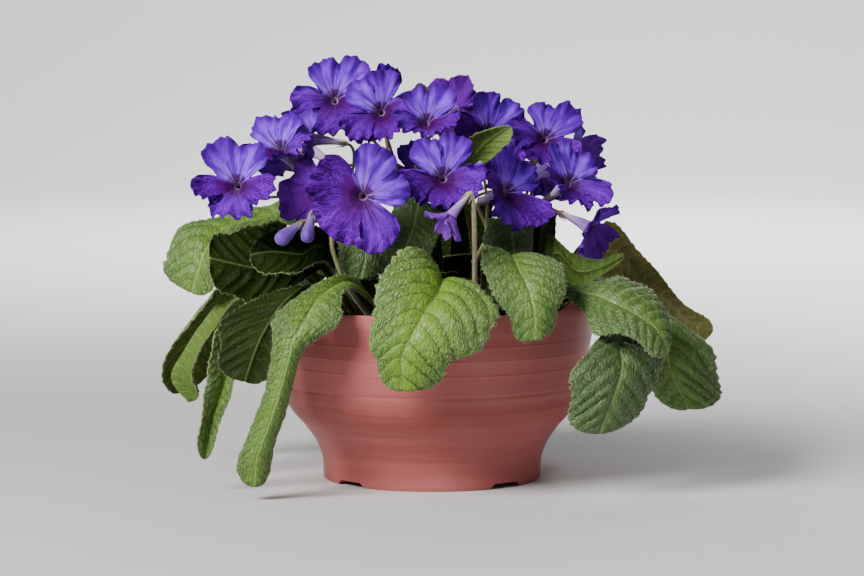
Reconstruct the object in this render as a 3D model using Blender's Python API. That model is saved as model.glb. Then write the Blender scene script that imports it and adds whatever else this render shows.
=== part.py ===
"""A cape primrose in its low plastic pot: pot, potting soil, leaves, flower stalks, flowers and buds.

Metres, +Z up. The origin is the middle of the pot's foot, and -Y is the front of the plant.
Tables are in millimetres and degrees.
"""

import math

import bmesh
import bpy
from mathutils import Matrix, Vector

MM = 0.001

# The pot: a low bowl, wide at its rim, on a foot ring with four drain notches.
POT_SIDES = 36
POT_HEIGHT = 98.0
RIM_RADIUS = 90.5
FOOT_RADIUS = 60.0
WALL = 2.4
LIP_HEIGHT = 3.0
FLOOR_LOW = 4.5
FLOOR_HIGH = 7.0
FOOT_RING_WIDTH = 5.0
OUTER_WALL = (
    (12.0, 61.2), (21.0, 64.8), (30.0, 71.2), (37.0, 77.6), (42.0, 80.6), (60.0, 85.2), (80.0, 89.0),
)
NOTCH_ANGLES = (-48.0, 42.0, 132.0, 222.0)
NOTCH_WIDTH = 23.0
NOTCH_HEIGHT = 2.8
NOTCH_SLOPE = 3.5
DRAIN_RADIUS = 4.0
DRAIN_CIRCLE = 34.0

# The soil: it fills the bowl to a little under the rim, and every stem stands in a hole in it.
SOIL_TOP = 84.0
SOIL_SIDES = 26
SOIL_FOOT_RADIUS = 55.2
SOIL_PROFILE = ((57.6, 12.0), (62.0, 24.0), (73.0, 38.0), (80.0, 52.0), (84.5, 74.0), (85.3, 82.5))
SOIL_EDGE = 5.0
HOLE_DEPTH = 6.0
HOLE_SIDES = 6
LEAF_HOLE_RADIUS = 3.8
STALK_HOLE_RADIUS = 2.4
SEAT_GAP = 0.3
ROOT_LOW = SOIL_TOP - HOLE_DEPTH + SEAT_GAP
ROOT_HIGH = SOIL_TOP + 2.0

# A leaf: a thick, puckered blade on a short stalk, scalloped along its edge. Its rib stands out below.
LEAF_STATIONS = 15
LEAF_LANES = 4
LEAF_STALK_HALF = 2.6
LEAF_OVER_SHARE = 1.8
LEAF_EDGE_THICK = 1.0
LEAF_RIB_THICK = 2.8
LEAF_PUFF = 0.08
LEAF_SCALLOP = 0.045
LEAF_TIP_SHARE = 0.25

# A flower: a tube that opens into two upper and three lower lobes.
TUBE_LENGTH = 24.0
TUBE_DROP = 3.0
TUBE_RADII = ((1.0, 1.9), (0.55, 3.1))
MOUTH_RADIUS = 5.4
MOUTH_FLARE = 0.3
THROAT_DEPTH = 9.0
PETAL_THICK = 0.9
LOBE_MIDDLES = (60.0, 120.0, 188.0, 270.0, 352.0)
LOBE_HALVES = (31.0, 31.0, 33.0, 47.0, 33.0)
LOBE_REACH = (25.0, 25.0, 26.5, 27.5, 26.5)
NOTCHES = ((28.0, 9.5), (90.0, 17.0), (152.0, 9.5), (222.0, 15.0), (318.0, 15.0))
LOBE_BASE = 14.5
LOBE_HOLLOW = 0.5
LOBE_OUTLINE = ((-0.93, 0.68), (-0.55, 0.96), (0.0, 1.0), (0.55, 0.96), (0.93, 0.68))
UPPER_LEAN = 8.0
LOBE_CURL = 22.0
FRILL = 0.9

# A flower stalk: one stem that forks into a stalklet for each flower.
STEM_SIDES = 6
STEM_STATIONS = 6
STEM_RADIUS = 1.5
STALKLET_SIDES = 5
STALKLET_STATIONS = 6
STALKLET_RADIUS = 0.85
STALKLET_PULL = 12.0
FORK_START = 1.5
FORK_STEP = 4.0
CALYX_RADIUS = 1.9

POT_COLOUR = (0.42, 0.13, 0.10)
SOIL_COLOUR = (0.025, 0.018, 0.013)
LEAF_COLOUR = (0.12, 0.26, 0.05)
STALK_COLOUR = (0.22, 0.26, 0.09)
PETAL_COLOUR = (0.14, 0.05, 0.62)
BUD_COLOUR = (0.30, 0.16, 0.62)

# Each leaf: where its stalk leaves the soil, the point where it bends over the rim, its tip, the height and
# number of its edge's waves, and rows across the blade from stalk to tip. A row is the right edge, the rib
# and the left edge, with the upper side up.
LEAVES = {
    "leaf_01": dict(
        root=(-40, 6), tip=(-133, -12, 104), wave=(2.0, 3.0),
        rows=(
            ((-75, 26, 150), (-73, 12, 145), (-74, 0, 138)),
            ((-96, 20, 148), (-95, 6, 144), (-97, -10, 138)),
            ((-118, 14, 145), (-115, 0, 139), (-107, -20, 135)),
            ((-141, 6, 141), (-125, -10, 128), (-116, -26, 124)),
            ((-148, 2, 121), (-129, -14, 117), (-120, -24, 111)),
        ),
    ),
    "leaf_02": dict(
        root=(-46, -4), over=(-58, -12, 116), tip=(-121, -38, 125), wave=(1.2, 2.5),
        rows=(
            ((-77, -32, 108), (-77, -25, 120), (-80, -14, 136)),
            ((-96, -40, 101), (-96, -32, 119), (-99, -22, 137)),
            ((-112, -44, 106), (-110, -36, 122), (-114, -28, 135)),
        ),
    ),
    "leaf_03": dict(
        root=(-30, -16), tip=(-98, -58, 128), wave=(1.2, 2.5),
        rows=(
            ((-55, -46, 123), (-58, -34, 128), (-56, -22, 137)),
            ((-71, -66, 119), (-71, -50, 127), (-71, -32, 141)),
            ((-85, -70, 120), (-85, -56, 129), (-85, -38, 140)),
        ),
    ),
    "leaf_04": dict(
        root=(-57, -8), over=(-79, -9, 110), tip=(-134, -16, 44), wave=(0.4, 2.0),
        rows=(
            ((-106, -15, 102), (-109, -8, 104), (-107, 2, 100)),
            ((-121, -20, 84), (-126, -11, 86), (-123, 0, 82)),
            ((-130, -22, 70), (-136, -13, 71), (-131, -2, 68)),
            ((-132, -24, 57), (-143, -14, 57), (-133, -4, 55)),
        ),
    ),
    "leaf_05": dict(
        root=(-57, -24), over=(-80, -42, 106), tip=(-123, -60, 18), wave=(1.0, 4.0),
        rows=(
            ((-114, -64, 90), (-108, -56, 92), (-102, -62, 89)),
            ((-119, -66, 76), (-111, -56, 75), (-103, -62, 74)),
            ((-121, -66, 59), (-113, -57, 59), (-107, -62, 58)),
            ((-125, -66, 40), (-120, -58, 40), (-114, -62, 39)),
        ),
    ),
    "leaf_06": dict(
        root=(-41, -34), over=(-62, -54, 111), tip=(-99, -84, 63), wave=(1.4, 2.5),
        rows=(
            ((-70, -84, 97), (-76, -76, 106), (-91, -68, 106)),
            ((-79, -88, 84), (-87, -82, 92), (-112, -76, 96)),
            ((-83, -88, 73), (-93, -84, 80), (-113, -78, 80)),
        ),
    ),
    "leaf_07": dict(
        root=(-20, -43), tip=(-94, -93, 8), wave=(0.8, 3.5),
        rows=(
            ((-44, -68, 118), (-42, -66, 114), (-40, -70, 110)),
            ((-71, -84, 109), (-59, -84, 108), (-47, -86, 109)),
            ((-84, -94, 97), (-67, -96, 96), (-49, -95, 95)),
            ((-84, -96, 85), (-73, -101, 86), (-65, -97, 83)),
            ((-85, -94, 71), (-76, -102, 73), (-72, -96, 70)),
            ((-93, -92, 47), (-83, -101, 49), (-78, -94, 46)),
            ((-102, -90, 22), (-92, -98, 25), (-85, -92, 22)),
        ),
    ),
    "leaf_08": dict(
        root=(-8, -24), tip=(-38, -55, 115), wave=(1.0, 2.5),
        rows=(
            ((-44, -36, 144), (-32, -38, 143), (-20, -36, 143)),
            ((-50, -42, 136), (-34, -48, 136), (-17, -42, 135)),
            ((-51, -48, 125), (-36, -54, 126), (-18, -47, 125)),
        ),
    ),
    "leaf_09": dict(
        root=(6, -14), tip=(-19, -70, 125), wave=(1.0, 2.5),
        rows=(
            ((-15, -48, 156), (-5, -50, 155), (4, -48, 149)),
            ((-23, -58, 144), (-10, -63, 143), (3, -58, 138)),
            ((-24, -64, 135), (-14, -69, 133), (-2, -64, 129)),
        ),
    ),
    "leaf_10": dict(
        root=(10, -36), tip=(-15, -108, 61), wave=(1.6, 3.0),
        rows=(
            ((-6, -78, 131), (6, -72, 116), (17, -70, 114)),
            ((-23, -92, 127), (3, -92, 110), (27, -90, 111)),
            ((-30, -102, 107), (-4, -104, 101), (35, -102, 100)),
            ((-32, -106, 86), (-10, -110, 91), (25, -106, 83)),
            ((-29, -107, 74), (-16, -111, 78), (8, -107, 74)),
        ),
    ),
    "leaf_11": dict(
        root=(28, -34), tip=(54, -94, 86), wave=(1.2, 2.5),
        rows=(
            ((27, -64, 132), (40, -62, 127), (55, -58, 126)),
            ((27, -80, 122), (47, -82, 121), (69, -78, 123)),
            ((34, -88, 107), (52, -92, 110), (70, -87, 110)),
            ((42, -92, 94), (54, -95, 99), (66, -90, 98)),
        ),
    ),
    "leaf_12": dict(
        root=(25, -14), tip=(45, -42, 115), wave=(1.0, 2.5),
        rows=(
            ((32, -20, 142), (43, -18, 143), (53, -14, 140)),
            ((28, -28, 136), (44, -29, 136), (55, -22, 133)),
            ((32, -36, 125), (45, -38, 127), (55, -30, 124)),
        ),
    ),
    "leaf_13": dict(
        root=(48, -18), over=(64, -28, 110), tip=(104, -48, 127), wave=(0.6, 2.5),
        rows=(
            ((63, -30, 137), (68, -36, 128), (70, -38, 116)),
            ((77, -40, 128), (79, -43, 119), (78, -42, 109)),
            ((91, -46, 125), (90, -48, 120), (87, -50, 114)),
        ),
    ),
    "leaf_14": dict(
        root=(46, -36), over=(66, -53, 108), tip=(125, -88, 79), wave=(1.2, 3.0),
        rows=(
            ((79, -74, 101), (86, -69, 108), (90, -60, 114)),
            ((87, -86, 88), (96, -77, 105), (101, -63, 118)),
            ((101, -94, 89), (108, -82, 99), (115, -66, 111)),
            ((112, -96, 83), (119, -86, 91), (125, -72, 99)),
        ),
    ),
    "leaf_15": dict(
        root=(58, -15), over=(84, -30, 106), tip=(89, -90, 36), wave=(1.4, 2.5),
        rows=(
            ((93, -66, 94), (102, -58, 96), (113, -48, 95)),
            ((84, -86, 81), (100, -78, 83), (120, -62, 84)),
            ((74, -92, 69), (101, -88, 72), (124, -72, 75)),
            ((73, -92, 54), (97, -92, 58), (115, -80, 55)),
        ),
    ),
    "leaf_16": dict(
        root=(60, 4), over=(88, -4, 112), tip=(139, -50, 44), wave=(1.4, 2.5),
        rows=(
            ((114, -42, 92), (122, -36, 96), (134, -28, 91)),
            ((118, -54, 75), (127, -48, 80), (151, -36, 77)),
            ((117, -58, 60), (129, -52, 66), (156, -38, 60)),
        ),
    ),
    "leaf_17": dict(
        root=(50, 22), tip=(156, -4, 81), wave=(1.4, 4.0),
        rows=(
            ((97, 22, 140), (98, 12, 121), (99, 0, 105)), ((120, 18, 120), (117, 8, 108), (112, -6, 93)),
            ((135, 14, 104), (132, 4, 96), (125, -10, 82)), ((149, 8, 90), (144, -2, 86), (138, -14, 76)),
        ),
    ),
    "leaf_18": dict(
        root=(26, 5), over=(26, 4, 128), tip=(42, -32, 197), wave=(0.5, 2.0),
        rows=(
            ((15, -18, 166), (19, -15, 166), (22, -18, 166)),
            ((17, -31, 187), (27, -26, 185), (35, -31, 181)),
        ),
    ),
    "leaf_19": dict(
        root=(26, 40), tip=(74, 102, 48), wave=(2.0, 2.5),
        rows=(
            ((66, 66, 118), (50, 76, 122), (34, 86, 118)), ((82, 82, 100), (64, 95, 106), (45, 106, 102)),
            ((90, 90, 74), (72, 103, 76), (52, 112, 76)),
        ),
    ),
    "leaf_20": dict(
        root=(-6, 44), tip=(-9, 113, 46), wave=(2.0, 2.5),
        rows=(
            ((12, 84, 122), (-9, 84, 126), (-30, 82, 121)),
            ((16, 104, 104), (-10, 106, 108), (-36, 102, 103)),
            ((16, 111, 74), (-10, 113, 76), (-35, 110, 74)),
        ),
    ),
    "leaf_21": dict(
        root=(-32, 32), tip=(-96, 97, 42), wave=(2.0, 2.5),
        rows=(
            ((-50, 80, 116), (-64, 68, 120), (-78, 56, 117)),
            ((-66, 99, 98), (-82, 85, 102), (-98, 72, 99)),
            ((-76, 107, 70), (-92, 94, 72), (-107, 80, 72)),
        ),
    ),
    "leaf_22": dict(
        root=(-52, 14), tip=(-146, 58, 40), wave=(2.0, 2.5),
        rows=(
            ((-84, 56, 112), (-94, 40, 116), (-101, 24, 112)),
            ((-108, 66, 92), (-122, 50, 95), (-132, 33, 92)),
            ((-124, 74, 66), (-140, 56, 67), (-151, 39, 62)),
        ),
    ),
}

# Each flower: where its mouth is, the way it faces (round from the front, up, turn), its size and how far
# its lower lobes lean forward.
FLOWERS = {
    "flower_01": dict(at=(-55, 20, 210), face=(-5, 15, -8), size=1.0, lip=50),
    "flower_02": dict(at=(-83, -30, 184), face=(-22, 22, 14), size=0.95, lip=74),
    "flower_03": dict(at=(-66, -19, 189), face=(-80, 0, 0), size=0.72, lip=20),
    "flower_04": dict(at=(-28, -10, 204), face=(0, 8, 22), size=0.98, lip=62),
    "flower_05": dict(at=(-105, -58, 166), face=(-12, 12, 0), size=1.0, lip=62),
    "flower_06": dict(at=(-63, -42, 160), face=(-40, 8, -75), size=0.76, lip=30),
    "flower_07": dict(at=(-37, -80, 161), face=(-8, -2, -48), size=1.1, lip=24),
    "flower_08": dict(at=(-3, -28, 199), face=(3, 22, -5), size=0.85, lip=70),
    "flower_09": dict(at=(11, 26, 203), face=(160, 10, 0), size=0.9, lip=30),
    "flower_10": dict(at=(31, -3, 192), face=(15, 5, -25), size=0.92, lip=35),
    "flower_11": dict(at=(6, -58, 170), face=(2, 15, 6), size=1.04, lip=56),
    "flower_12": dict(at=(41, -38, 161), face=(36, 8, -30), size=0.95, lip=50),
    "flower_13": dict(at=(63, -2, 189), face=(12, 15, -22), size=0.92, lip=56),
    "flower_14": dict(at=(75, -36, 166), face=(25, 15, -15), size=0.92, lip=66),
    "flower_15": dict(at=(86, -26, 141), face=(62, -30, 0), size=0.74, lip=30),
    "flower_16": dict(at=(10, -97, 152), face=(-80, -55, 0), size=0.58, lip=10),
    "flower_17": dict(at=(83, 22, 184), face=(75, 10, 0), size=0.85, lip=30),
    "flower_18": dict(at=(-76, 38, 184), face=(-125, 15, 5), size=1.0, lip=40),
    "flower_19": dict(at=(-34, 66, 204), face=(-165, 20, -5), size=1.0, lip=40),
    "flower_20": dict(at=(30, 68, 186), face=(175, 15, 10), size=1.0, lip=40),
    "flower_21": dict(at=(64, 54, 170), face=(140, 15, -10), size=1.0, lip=40),
    "flower_22": dict(at=(-4, 52, 166), face=(178, 30, 0), size=0.85, lip=40),
}

# Each bud: its tip, the way it points and its size.
BUDS = {
    "bud_01": dict(at=(-9, 4, 218), face=(-120, 25), size=0.8),
    "bud_02": dict(at=(-82, -76, 136), face=(-45, -40), size=1.0),
    "bud_03": dict(at=(-67, -72, 136), face=(-20, -70), size=0.9),
    "bud_04": dict(at=(26, -38, 177), face=(-10, 20), size=0.5),
}

# Each stalk: its stem from the soil to the fork, and what hangs on its stalklets.
STALKS = {
    "stalk_01": dict(
        stem=((-26, 0), (-34, 4, 130), (-46, 10, 160)),
        ends=("flower_02", "flower_03", "flower_05"),
    ),
    "stalk_02": dict(stem=((-14, -8), (-18, -12, 125), (-32, -28, 150)), ends=("flower_07", "flower_06")),
    "stalk_03": dict(stem=((-12, 8), (-18, 8, 130), (-24, 10, 176)), ends=("flower_01", "flower_04")),
    "stalk_04": dict(stem=((4, 0), (2, -4, 130), (0, -14, 164)), ends=("flower_08", "flower_11")),
    "stalk_05": dict(stem=((15, -5), (24, -12, 120), (30, -12, 134)), ends=("flower_12", "bud_04")),
    "stalk_06": dict(
        stem=((38, 8), (44, 4, 120), (54, 2, 150)),
        ends=("flower_13", "flower_14", "flower_15", "flower_17"),
    ),
    "stalk_07": dict(
        stem=((-8, 24), (-12, 26, 130), (-18, 30, 164)),
        ends=("flower_18", "flower_19", "flower_22", "bud_01"),
    ),
    "stalk_08": dict(
        stem=((12, 22), (16, 26, 130), (22, 30, 154)),
        ends=("flower_20", "flower_21", "flower_09", "flower_10"),
    ),
    "stalk_09": dict(stem=((22, -50), (23, -64, 112), (22, -90, 158)), ends=("flower_16",)),
    "stalk_10": dict(
        stem=((-30, -30), (-46, -54, 112), (-53, -60, 130), (-54, -61, 140)),
        ends=("bud_02", "bud_03"),
    ),
}


def clear_scene():
    for thing in list(bpy.data.objects):
        bpy.data.objects.remove(thing, do_unlink=True)


def material(name, colour, roughness):
    made = bpy.data.materials.new(name)
    made.use_nodes = True
    shader = made.node_tree.nodes["Principled BSDF"]
    shader.inputs["Base Color"].default_value = (*colour, 1.0)
    shader.inputs["Roughness"].default_value = roughness
    shader.inputs["Metallic"].default_value = 0.0
    made.diffuse_color = (*colour, 1.0)
    return made


def add_object(name, points, faces, finish, smooth=True):
    """Points in millimetres become an object in metres."""
    mesh = bpy.data.meshes.new(name)
    mesh.from_pydata([Vector(p) * MM for p in points], [], faces)
    mesh.materials.append(finish)
    if smooth:
        mesh.shade_smooth()
        mesh.set_sharp_from_angle(angle=math.radians(40.0))
    made = bpy.data.objects.new(name, mesh)
    bpy.context.scene.collection.objects.link(made)
    return made


def drop(thing):
    bpy.data.objects.remove(thing, do_unlink=True)


def apply_boolean(target, tool, operation, solver="EXACT"):
    step = target.modifiers.new("cut", "BOOLEAN")
    step.operation = operation
    step.solver = solver
    step.object = tool
    graph = bpy.context.evaluated_depsgraph_get()
    result = bpy.data.meshes.new_from_object(target.evaluated_get(graph))
    target.modifiers.clear()
    target.data = result
    drop(tool)


def turned(profile, sides):
    """A solid of revolution. The profile runs from the axis round to the axis again, as (radius, height)."""
    points, faces, rings = [], [], []
    for radius, height in profile:
        if radius < 1e-6:
            rings.append([len(points)])
            points.append((0.0, 0.0, height))
            continue
        ring = []
        for k in range(sides):
            angle = 2 * math.pi * k / sides
            ring.append(len(points))
            points.append((radius * math.cos(angle), radius * math.sin(angle), height))
        rings.append(ring)
    for low, high in zip(rings, rings[1:]):
        for k in range(sides):
            j = (k + 1) % sides
            if len(low) == 1:
                faces.append((low[0], high[j], high[k]))
            elif len(high) == 1:
                faces.append((low[k], low[j], high[0]))
            else:
                faces.append((low[k], low[j], high[j], high[k]))
    return points, faces


def sway(seed, k):
    """A number from -1 to 1 that varies from piece to piece."""
    return math.sin(seed * 2.7 + k * 1.9)


def planted(points):
    """A stem's points, with its foot upright in its hole in the soil."""
    x, y = points[0]
    return [(x, y, ROOT_LOW), (x, y, ROOT_HIGH), *points[1:]]


def between(knots, t):
    """A smooth curve through the knots, at t knots from the first. It is straight up to the second knot."""
    i = min(int(t), len(knots) - 2)
    t -= i
    b, c = knots[i], knots[i + 1]
    if i == 0:
        return b.lerp(c, t)
    a = knots[i - 1]
    d = knots[i + 2] if i + 2 < len(knots) else c * 2 - b
    return 0.5 * (2 * b + (c - a) * t + (2 * a - 5 * b + 4 * c - d) * t * t + (3 * b - a - 3 * c + d) * t**3)


def even_steps(knots, count):
    """Where to stand on the curve: at its first two knots, then at steps of one length."""
    fine = [1 + k / 16 for k in range(16 * (len(knots) - 2) + 1)]
    lengths = [0.0]
    for s, t in zip(fine, fine[1:]):
        lengths.append(lengths[-1] + (between(knots, t) - between(knots, s)).length)
    steps, i = [0.0], 0
    for k in range(count - 1):
        wanted = lengths[-1] * k / (count - 2)
        while i < len(fine) - 2 and lengths[i + 1] < wanted:
            i += 1
        steps.append(fine[i] + (wanted - lengths[i]) / (lengths[i + 1] - lengths[i]) / 16)
    return steps


def smooth_path(points, count):
    """Evenly spaced points, and their directions, on a smooth curve through the given ones."""
    knots = [Vector(p) for p in points]
    places = [between(knots, t) for t in even_steps(knots, count)]
    ways = [(places[min(k + 1, count - 1)] - places[max(k - 1, 0)]).normalized() for k in range(count)]
    return places, ways


def ease(low, high, value):
    share = min(1.0, max(0.0, (value - low) / (high - low)))
    return share * share * (3 - 2 * share)


def leaf_frame(leaf):
    """The rib's knots, and the knots of the vectors from the rib to the right and left edges."""
    x, y = leaf["root"]
    out = Vector((leaf["tip"][0] - x, leaf["tip"][1] - y, 0.0)).normalized()
    side = Vector((out.y, -out.x, 0.0)) * LEAF_STALK_HALF
    ribs = [Vector((x, y, ROOT_LOW)), Vector((x, y, ROOT_HIGH))]
    rights, lefts = [side, side], [-side, -side]
    if "over" in leaf:
        ribs.append(Vector(leaf["over"]))
        rights.append(side * LEAF_OVER_SHARE)
        lefts.append(-side * LEAF_OVER_SHARE)
    for right, rib, left in leaf["rows"]:
        ribs.append(Vector(rib))
        rights.append(Vector(right) - ribs[-1])
        lefts.append(Vector(left) - ribs[-1])
    ribs.append(Vector(leaf["tip"]))
    rights.append(rights[-1])
    lefts.append(lefts[-1])
    return ribs, rights, lefts


def leaf_station(leaf, frame, t, u, phase):
    """The blade across its rib at t: a function of s, from -1 (left edge) to 1, to a point and its normal."""
    ribs, rights, lefts = frame
    rib, right, left = (between(knots, t) for knots in frame)
    way = (between(ribs, min(t + 0.02, len(ribs) - 1)) - between(ribs, max(t - 0.02, 0.0))).normalized()
    last = max(0.0, t - (len(ribs) - 2))
    narrow = max(LEAF_TIP_SHARE, math.sqrt(max(0.0, 1.0 - last * last)))
    up_right, up_left = right.cross(way).normalized(), way.cross(left).normalized()
    up = (up_right + up_left).normalized()
    height, count = leaf["wave"]

    def point(s):
        edge, face = (right, up_right) if s > 0 else (left, up_left)
        across = abs(s)
        normal = up.lerp(face, min(1.0, across * 2)).normalized()
        puff = LEAF_PUFF * edge.length * narrow * 4 * across * (1 - across)
        ripple = math.sin(2 * math.pi * count * u + phase + (1.9 if s > 0 else 0.0))
        lift = puff + height * across * across * ease(0.2, 0.5, u) * narrow * ripple
        return rib + edge * (across * narrow) + normal * lift, normal

    return point


def leaf_solid(name, leaf, finish, seed):
    frame = leaf_frame(leaf)
    stations = LEAF_STATIONS
    points, faces = [], []
    lanes = LEAF_LANES + 1
    for k, t in enumerate(even_steps(frame[0], stations)):
        u = k / (stations - 1)
        point = leaf_station(leaf, frame, t, u, 3.0 * sway(seed, 0))
        scallop = 1 + LEAF_SCALLOP * (1 if k % 2 else -1) * ease(0.3, 0.5, u)
        for face in (0.5, -0.5):
            for lane in range(lanes):
                s = 2 * lane / LEAF_LANES - 1
                place, normal = point(s * scallop if abs(s) == 1 else s)
                thick = LEAF_EDGE_THICK
                if face < 0:
                    thick += (LEAF_RIB_THICK - LEAF_EDGE_THICK) * (1 - abs(s)) ** 2 * (1 - 0.6 * u)
                points.append(place + normal * thick * face)
    row = 2 * lanes
    for k in range(stations - 1):
        for lane in range(LEAF_LANES):
            a, b = k * row + lane, (k + 1) * row + lane
            faces += [(a, b + 1, b), (a, a + 1, b + 1)]
            c, d = a + lanes, b + lanes
            faces += [(c, d, d + 1), (c, d + 1, c + 1)]
        left, right = k * row, k * row + LEAF_LANES
        faces += [(left, left + row + lanes, left + lanes), (left, left + row, left + row + lanes)]
        faces += [(right, right + row + lanes, right + row), (right, right + lanes, right + row + lanes)]
    for lane in range(LEAF_LANES):
        faces += [(lane, lane + 1 + lanes, lane + 1), (lane, lane + lanes, lane + 1 + lanes)]
        last = (stations - 1) * row + lane
        faces += [(last, last + 1, last + lanes + 1), (last, last + lanes + 1, last + lanes)]
    return add_object(name, points, faces, finish)


def facing(at, face):
    """Puts a flower's mouth at a point. Its face looks round from the front, then up, then turns in place."""
    around, up, turn = (math.radians(a) for a in (*face, 0.0)[:3])
    forward = Vector((math.sin(around) * math.cos(up), -math.cos(around) * math.cos(up), math.sin(up)))
    upward = (Vector((0, 0, 1)) - forward * forward.z).normalized()
    right = upward.cross(forward)
    upward = Matrix.Rotation(turn, 3, forward) @ upward
    right = Matrix.Rotation(turn, 3, forward) @ right
    made = Matrix((right, upward, forward)).transposed().to_4x4()
    made.translation = Vector(at)
    return made


def limb_point(angle, reach, lip):
    """A point on the spreading lobes, and its normal. reach runs along the petal from the mouth's middle."""
    low = 0.5 * (1 - math.sin(angle))
    start = math.radians(UPPER_LEAN + (lip - UPPER_LEAN) * low)
    bend = -math.radians(LOBE_CURL) / (LOBE_REACH[3] - MOUTH_RADIUS)
    lean = start + bend * (reach - MOUTH_RADIUS)
    radius = MOUTH_RADIUS + (math.sin(lean) - math.sin(start)) / bend
    height = (math.cos(start) - math.cos(lean)) / bend
    normal = Vector((-math.sin(lean) * math.cos(angle), -math.sin(lean) * math.sin(angle), math.cos(lean)))
    return Vector((radius * math.cos(angle), radius * math.sin(angle), height)), normal


def tube_centre(share):
    """The middle of the flower's tube, from the mouth at 0 to the calyx at 1."""
    return Vector((0.0, -TUBE_DROP * share * share, -TUBE_LENGTH * share))


def tube_end(flower):
    """Where the tube's narrow end is, and the way the tube runs there, out of its calyx."""
    place = facing(flower["at"], flower["face"]) @ Matrix.Scale(flower["size"], 4)
    return place @ tube_centre(1.0), place.col[2].to_3d().normalized()


def flower_solid(name, flower, finish, seed):
    """A corolla: its tube, a collar from the mouth to the notches, and five lobes on the collar's edge."""
    lip = flower["lip"]
    place = facing(flower["at"], flower["face"]) @ Matrix.Scale(flower["size"], 4)
    half = PETAL_THICK / 2 / flower["size"]
    points, faces = [], []
    edge = []
    for (notch, reach), middle in zip(NOTCHES, LOBE_MIDDLES):
        edge += [(math.radians(notch), reach), (math.radians(middle), LOBE_BASE + 1.5)]
    columns = len(edge)

    def add(point):
        points.append(place @ point)
        return len(points) - 1

    def strip(low, high):
        for k in range(columns):
            j = (k + 1) % columns
            faces.extend([(low[k], low[j], high[j]), (low[k], high[j], high[k])])

    rings = []
    for share, radius in TUBE_RADII:
        centre = tube_centre(share)
        rings.append([add(centre + Vector((math.cos(a), math.sin(a), 0)) * radius) for a, _ in edge])
    back_mouth, front_mouth, back_edge, front_edge = [], [], [], []
    for angle, reach in edge:
        point, normal = limb_point(angle, MOUTH_RADIUS, lip)
        outward = Vector((math.cos(angle), math.sin(angle), 0))
        back_mouth.append(add(point - normal * half * 1.6 + outward * MOUTH_FLARE))
        front_mouth.append(add(point + normal * half * 0.4))
        point, normal = limb_point(angle, reach, lip)
        back_edge.append(add(point - normal * half))
        front_edge.append(add(point + normal * half))
    throat = add(tube_centre(THROAT_DEPTH / TUBE_LENGTH))

    for k in range(1, columns - 1):
        faces.append((rings[0][0], rings[0][k + 1], rings[0][k]))
    strip(rings[0], rings[1])
    strip(rings[1], back_mouth)
    strip(back_mouth, back_edge)
    strip(front_edge, front_mouth)
    for k in range(columns):
        faces.append((front_mouth[k], front_mouth[(k + 1) % columns], throat))

    for lobe, (middle, spread) in enumerate(zip(LOBE_MIDDLES, LOBE_HALVES)):
        first, centre, last = 2 * lobe, 2 * lobe + 1, (2 * lobe + 2) % columns
        reach = LOBE_REACH[lobe] * (1 + 0.05 * sway(seed, lobe + 1))
        wave = FRILL * math.copysign(1.0, sway(seed, lobe + 7))
        back, front = [back_edge[first]], [front_edge[first]]
        for n, (across, share) in enumerate(LOBE_OUTLINE):
            length = LOBE_BASE + (reach - LOBE_BASE) * share
            point, normal = limb_point(math.radians(middle + spread * across), length, lip)
            point = point + normal * wave * (1 if n % 2 else -1)
            back.append(add(point - normal * half))
            front.append(add(point + normal * half))
        back.append(back_edge[last])
        front.append(front_edge[last])
        point, normal = limb_point(math.radians(middle), (LOBE_BASE + reach) / 2 + 1.0, lip)
        back_heart = add(point - normal * (half + LOBE_HOLLOW))
        front_heart = add(point + normal * (half - LOBE_HOLLOW))
        for n in range(len(back) - 1):
            faces.append((back[n + 1], back[n], back_heart))
            faces.append((front[n], front[n + 1], front_heart))
            faces.extend([(back[n], back[n + 1], front[n]), (back[n + 1], front[n + 1], front[n])])
        faces.append((back[0], back_edge[centre], back_heart))
        faces.append((back[-1], back_heart, back_edge[centre]))
        faces.append((front[0], front_heart, front_edge[centre]))
        faces.append((front[-1], front_edge[centre], front_heart))
    return add_object(name, points, faces, finish)


def bud_solid(name, bud, finish):
    """A shut flower: a slim tube with a blunt, puffed tip."""
    place = facing(bud["at"], bud["face"]) @ Matrix.Scale(bud["size"], 4)
    profile = ((0.0, 0.0), (2.6, -0.9), (4.2, -4.0), (3.6, -8.5), (2.5, -13.0), (1.9, -18.0), (0.0, -18.0))
    points, faces = turned([(r, z) for r, z in reversed(profile)], 8)
    bent = [place @ Vector((x, y - 3.0 * (z / 18.0) ** 2, z)) for x, y, z in points]
    return add_object(name, bent, faces, finish)


def bud_end(bud):
    place = facing(bud["at"], bud["face"]) @ Matrix.Scale(bud["size"], 4)
    return place @ Vector((0, -3.0, -18.0)), place.col[2].to_3d().normalized()


def stem_tube(places, radii, sides, last_way=None):
    """Points and faces of a closed tube along places."""
    points, faces = [], []
    last = len(places) - 1
    ways = [(places[min(k + 1, last)] - places[max(k - 1, 0)]).normalized() for k in range(last + 1)]
    if last_way:
        ways[-1] = last_way
    side = ways[0].orthogonal().normalized()
    for k, (place, way, radius) in enumerate(zip(places, ways, radii)):
        side = (side - way * side.dot(way)).normalized()
        other = way.cross(side)
        for n in range(sides):
            angle = 2 * math.pi * n / sides
            points.append(place + (side * math.cos(angle) + other * math.sin(angle)) * radius)
        if k:
            for n in range(sides):
                m = (n + 1) % sides
                low, high = (k - 1) * sides, k * sides
                faces.append((low + n, low + m, high + m, high + n))
    faces.append(tuple(reversed(range(sides))))
    faces.append(tuple(range(last * sides, (last + 1) * sides)))
    return points, faces


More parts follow.
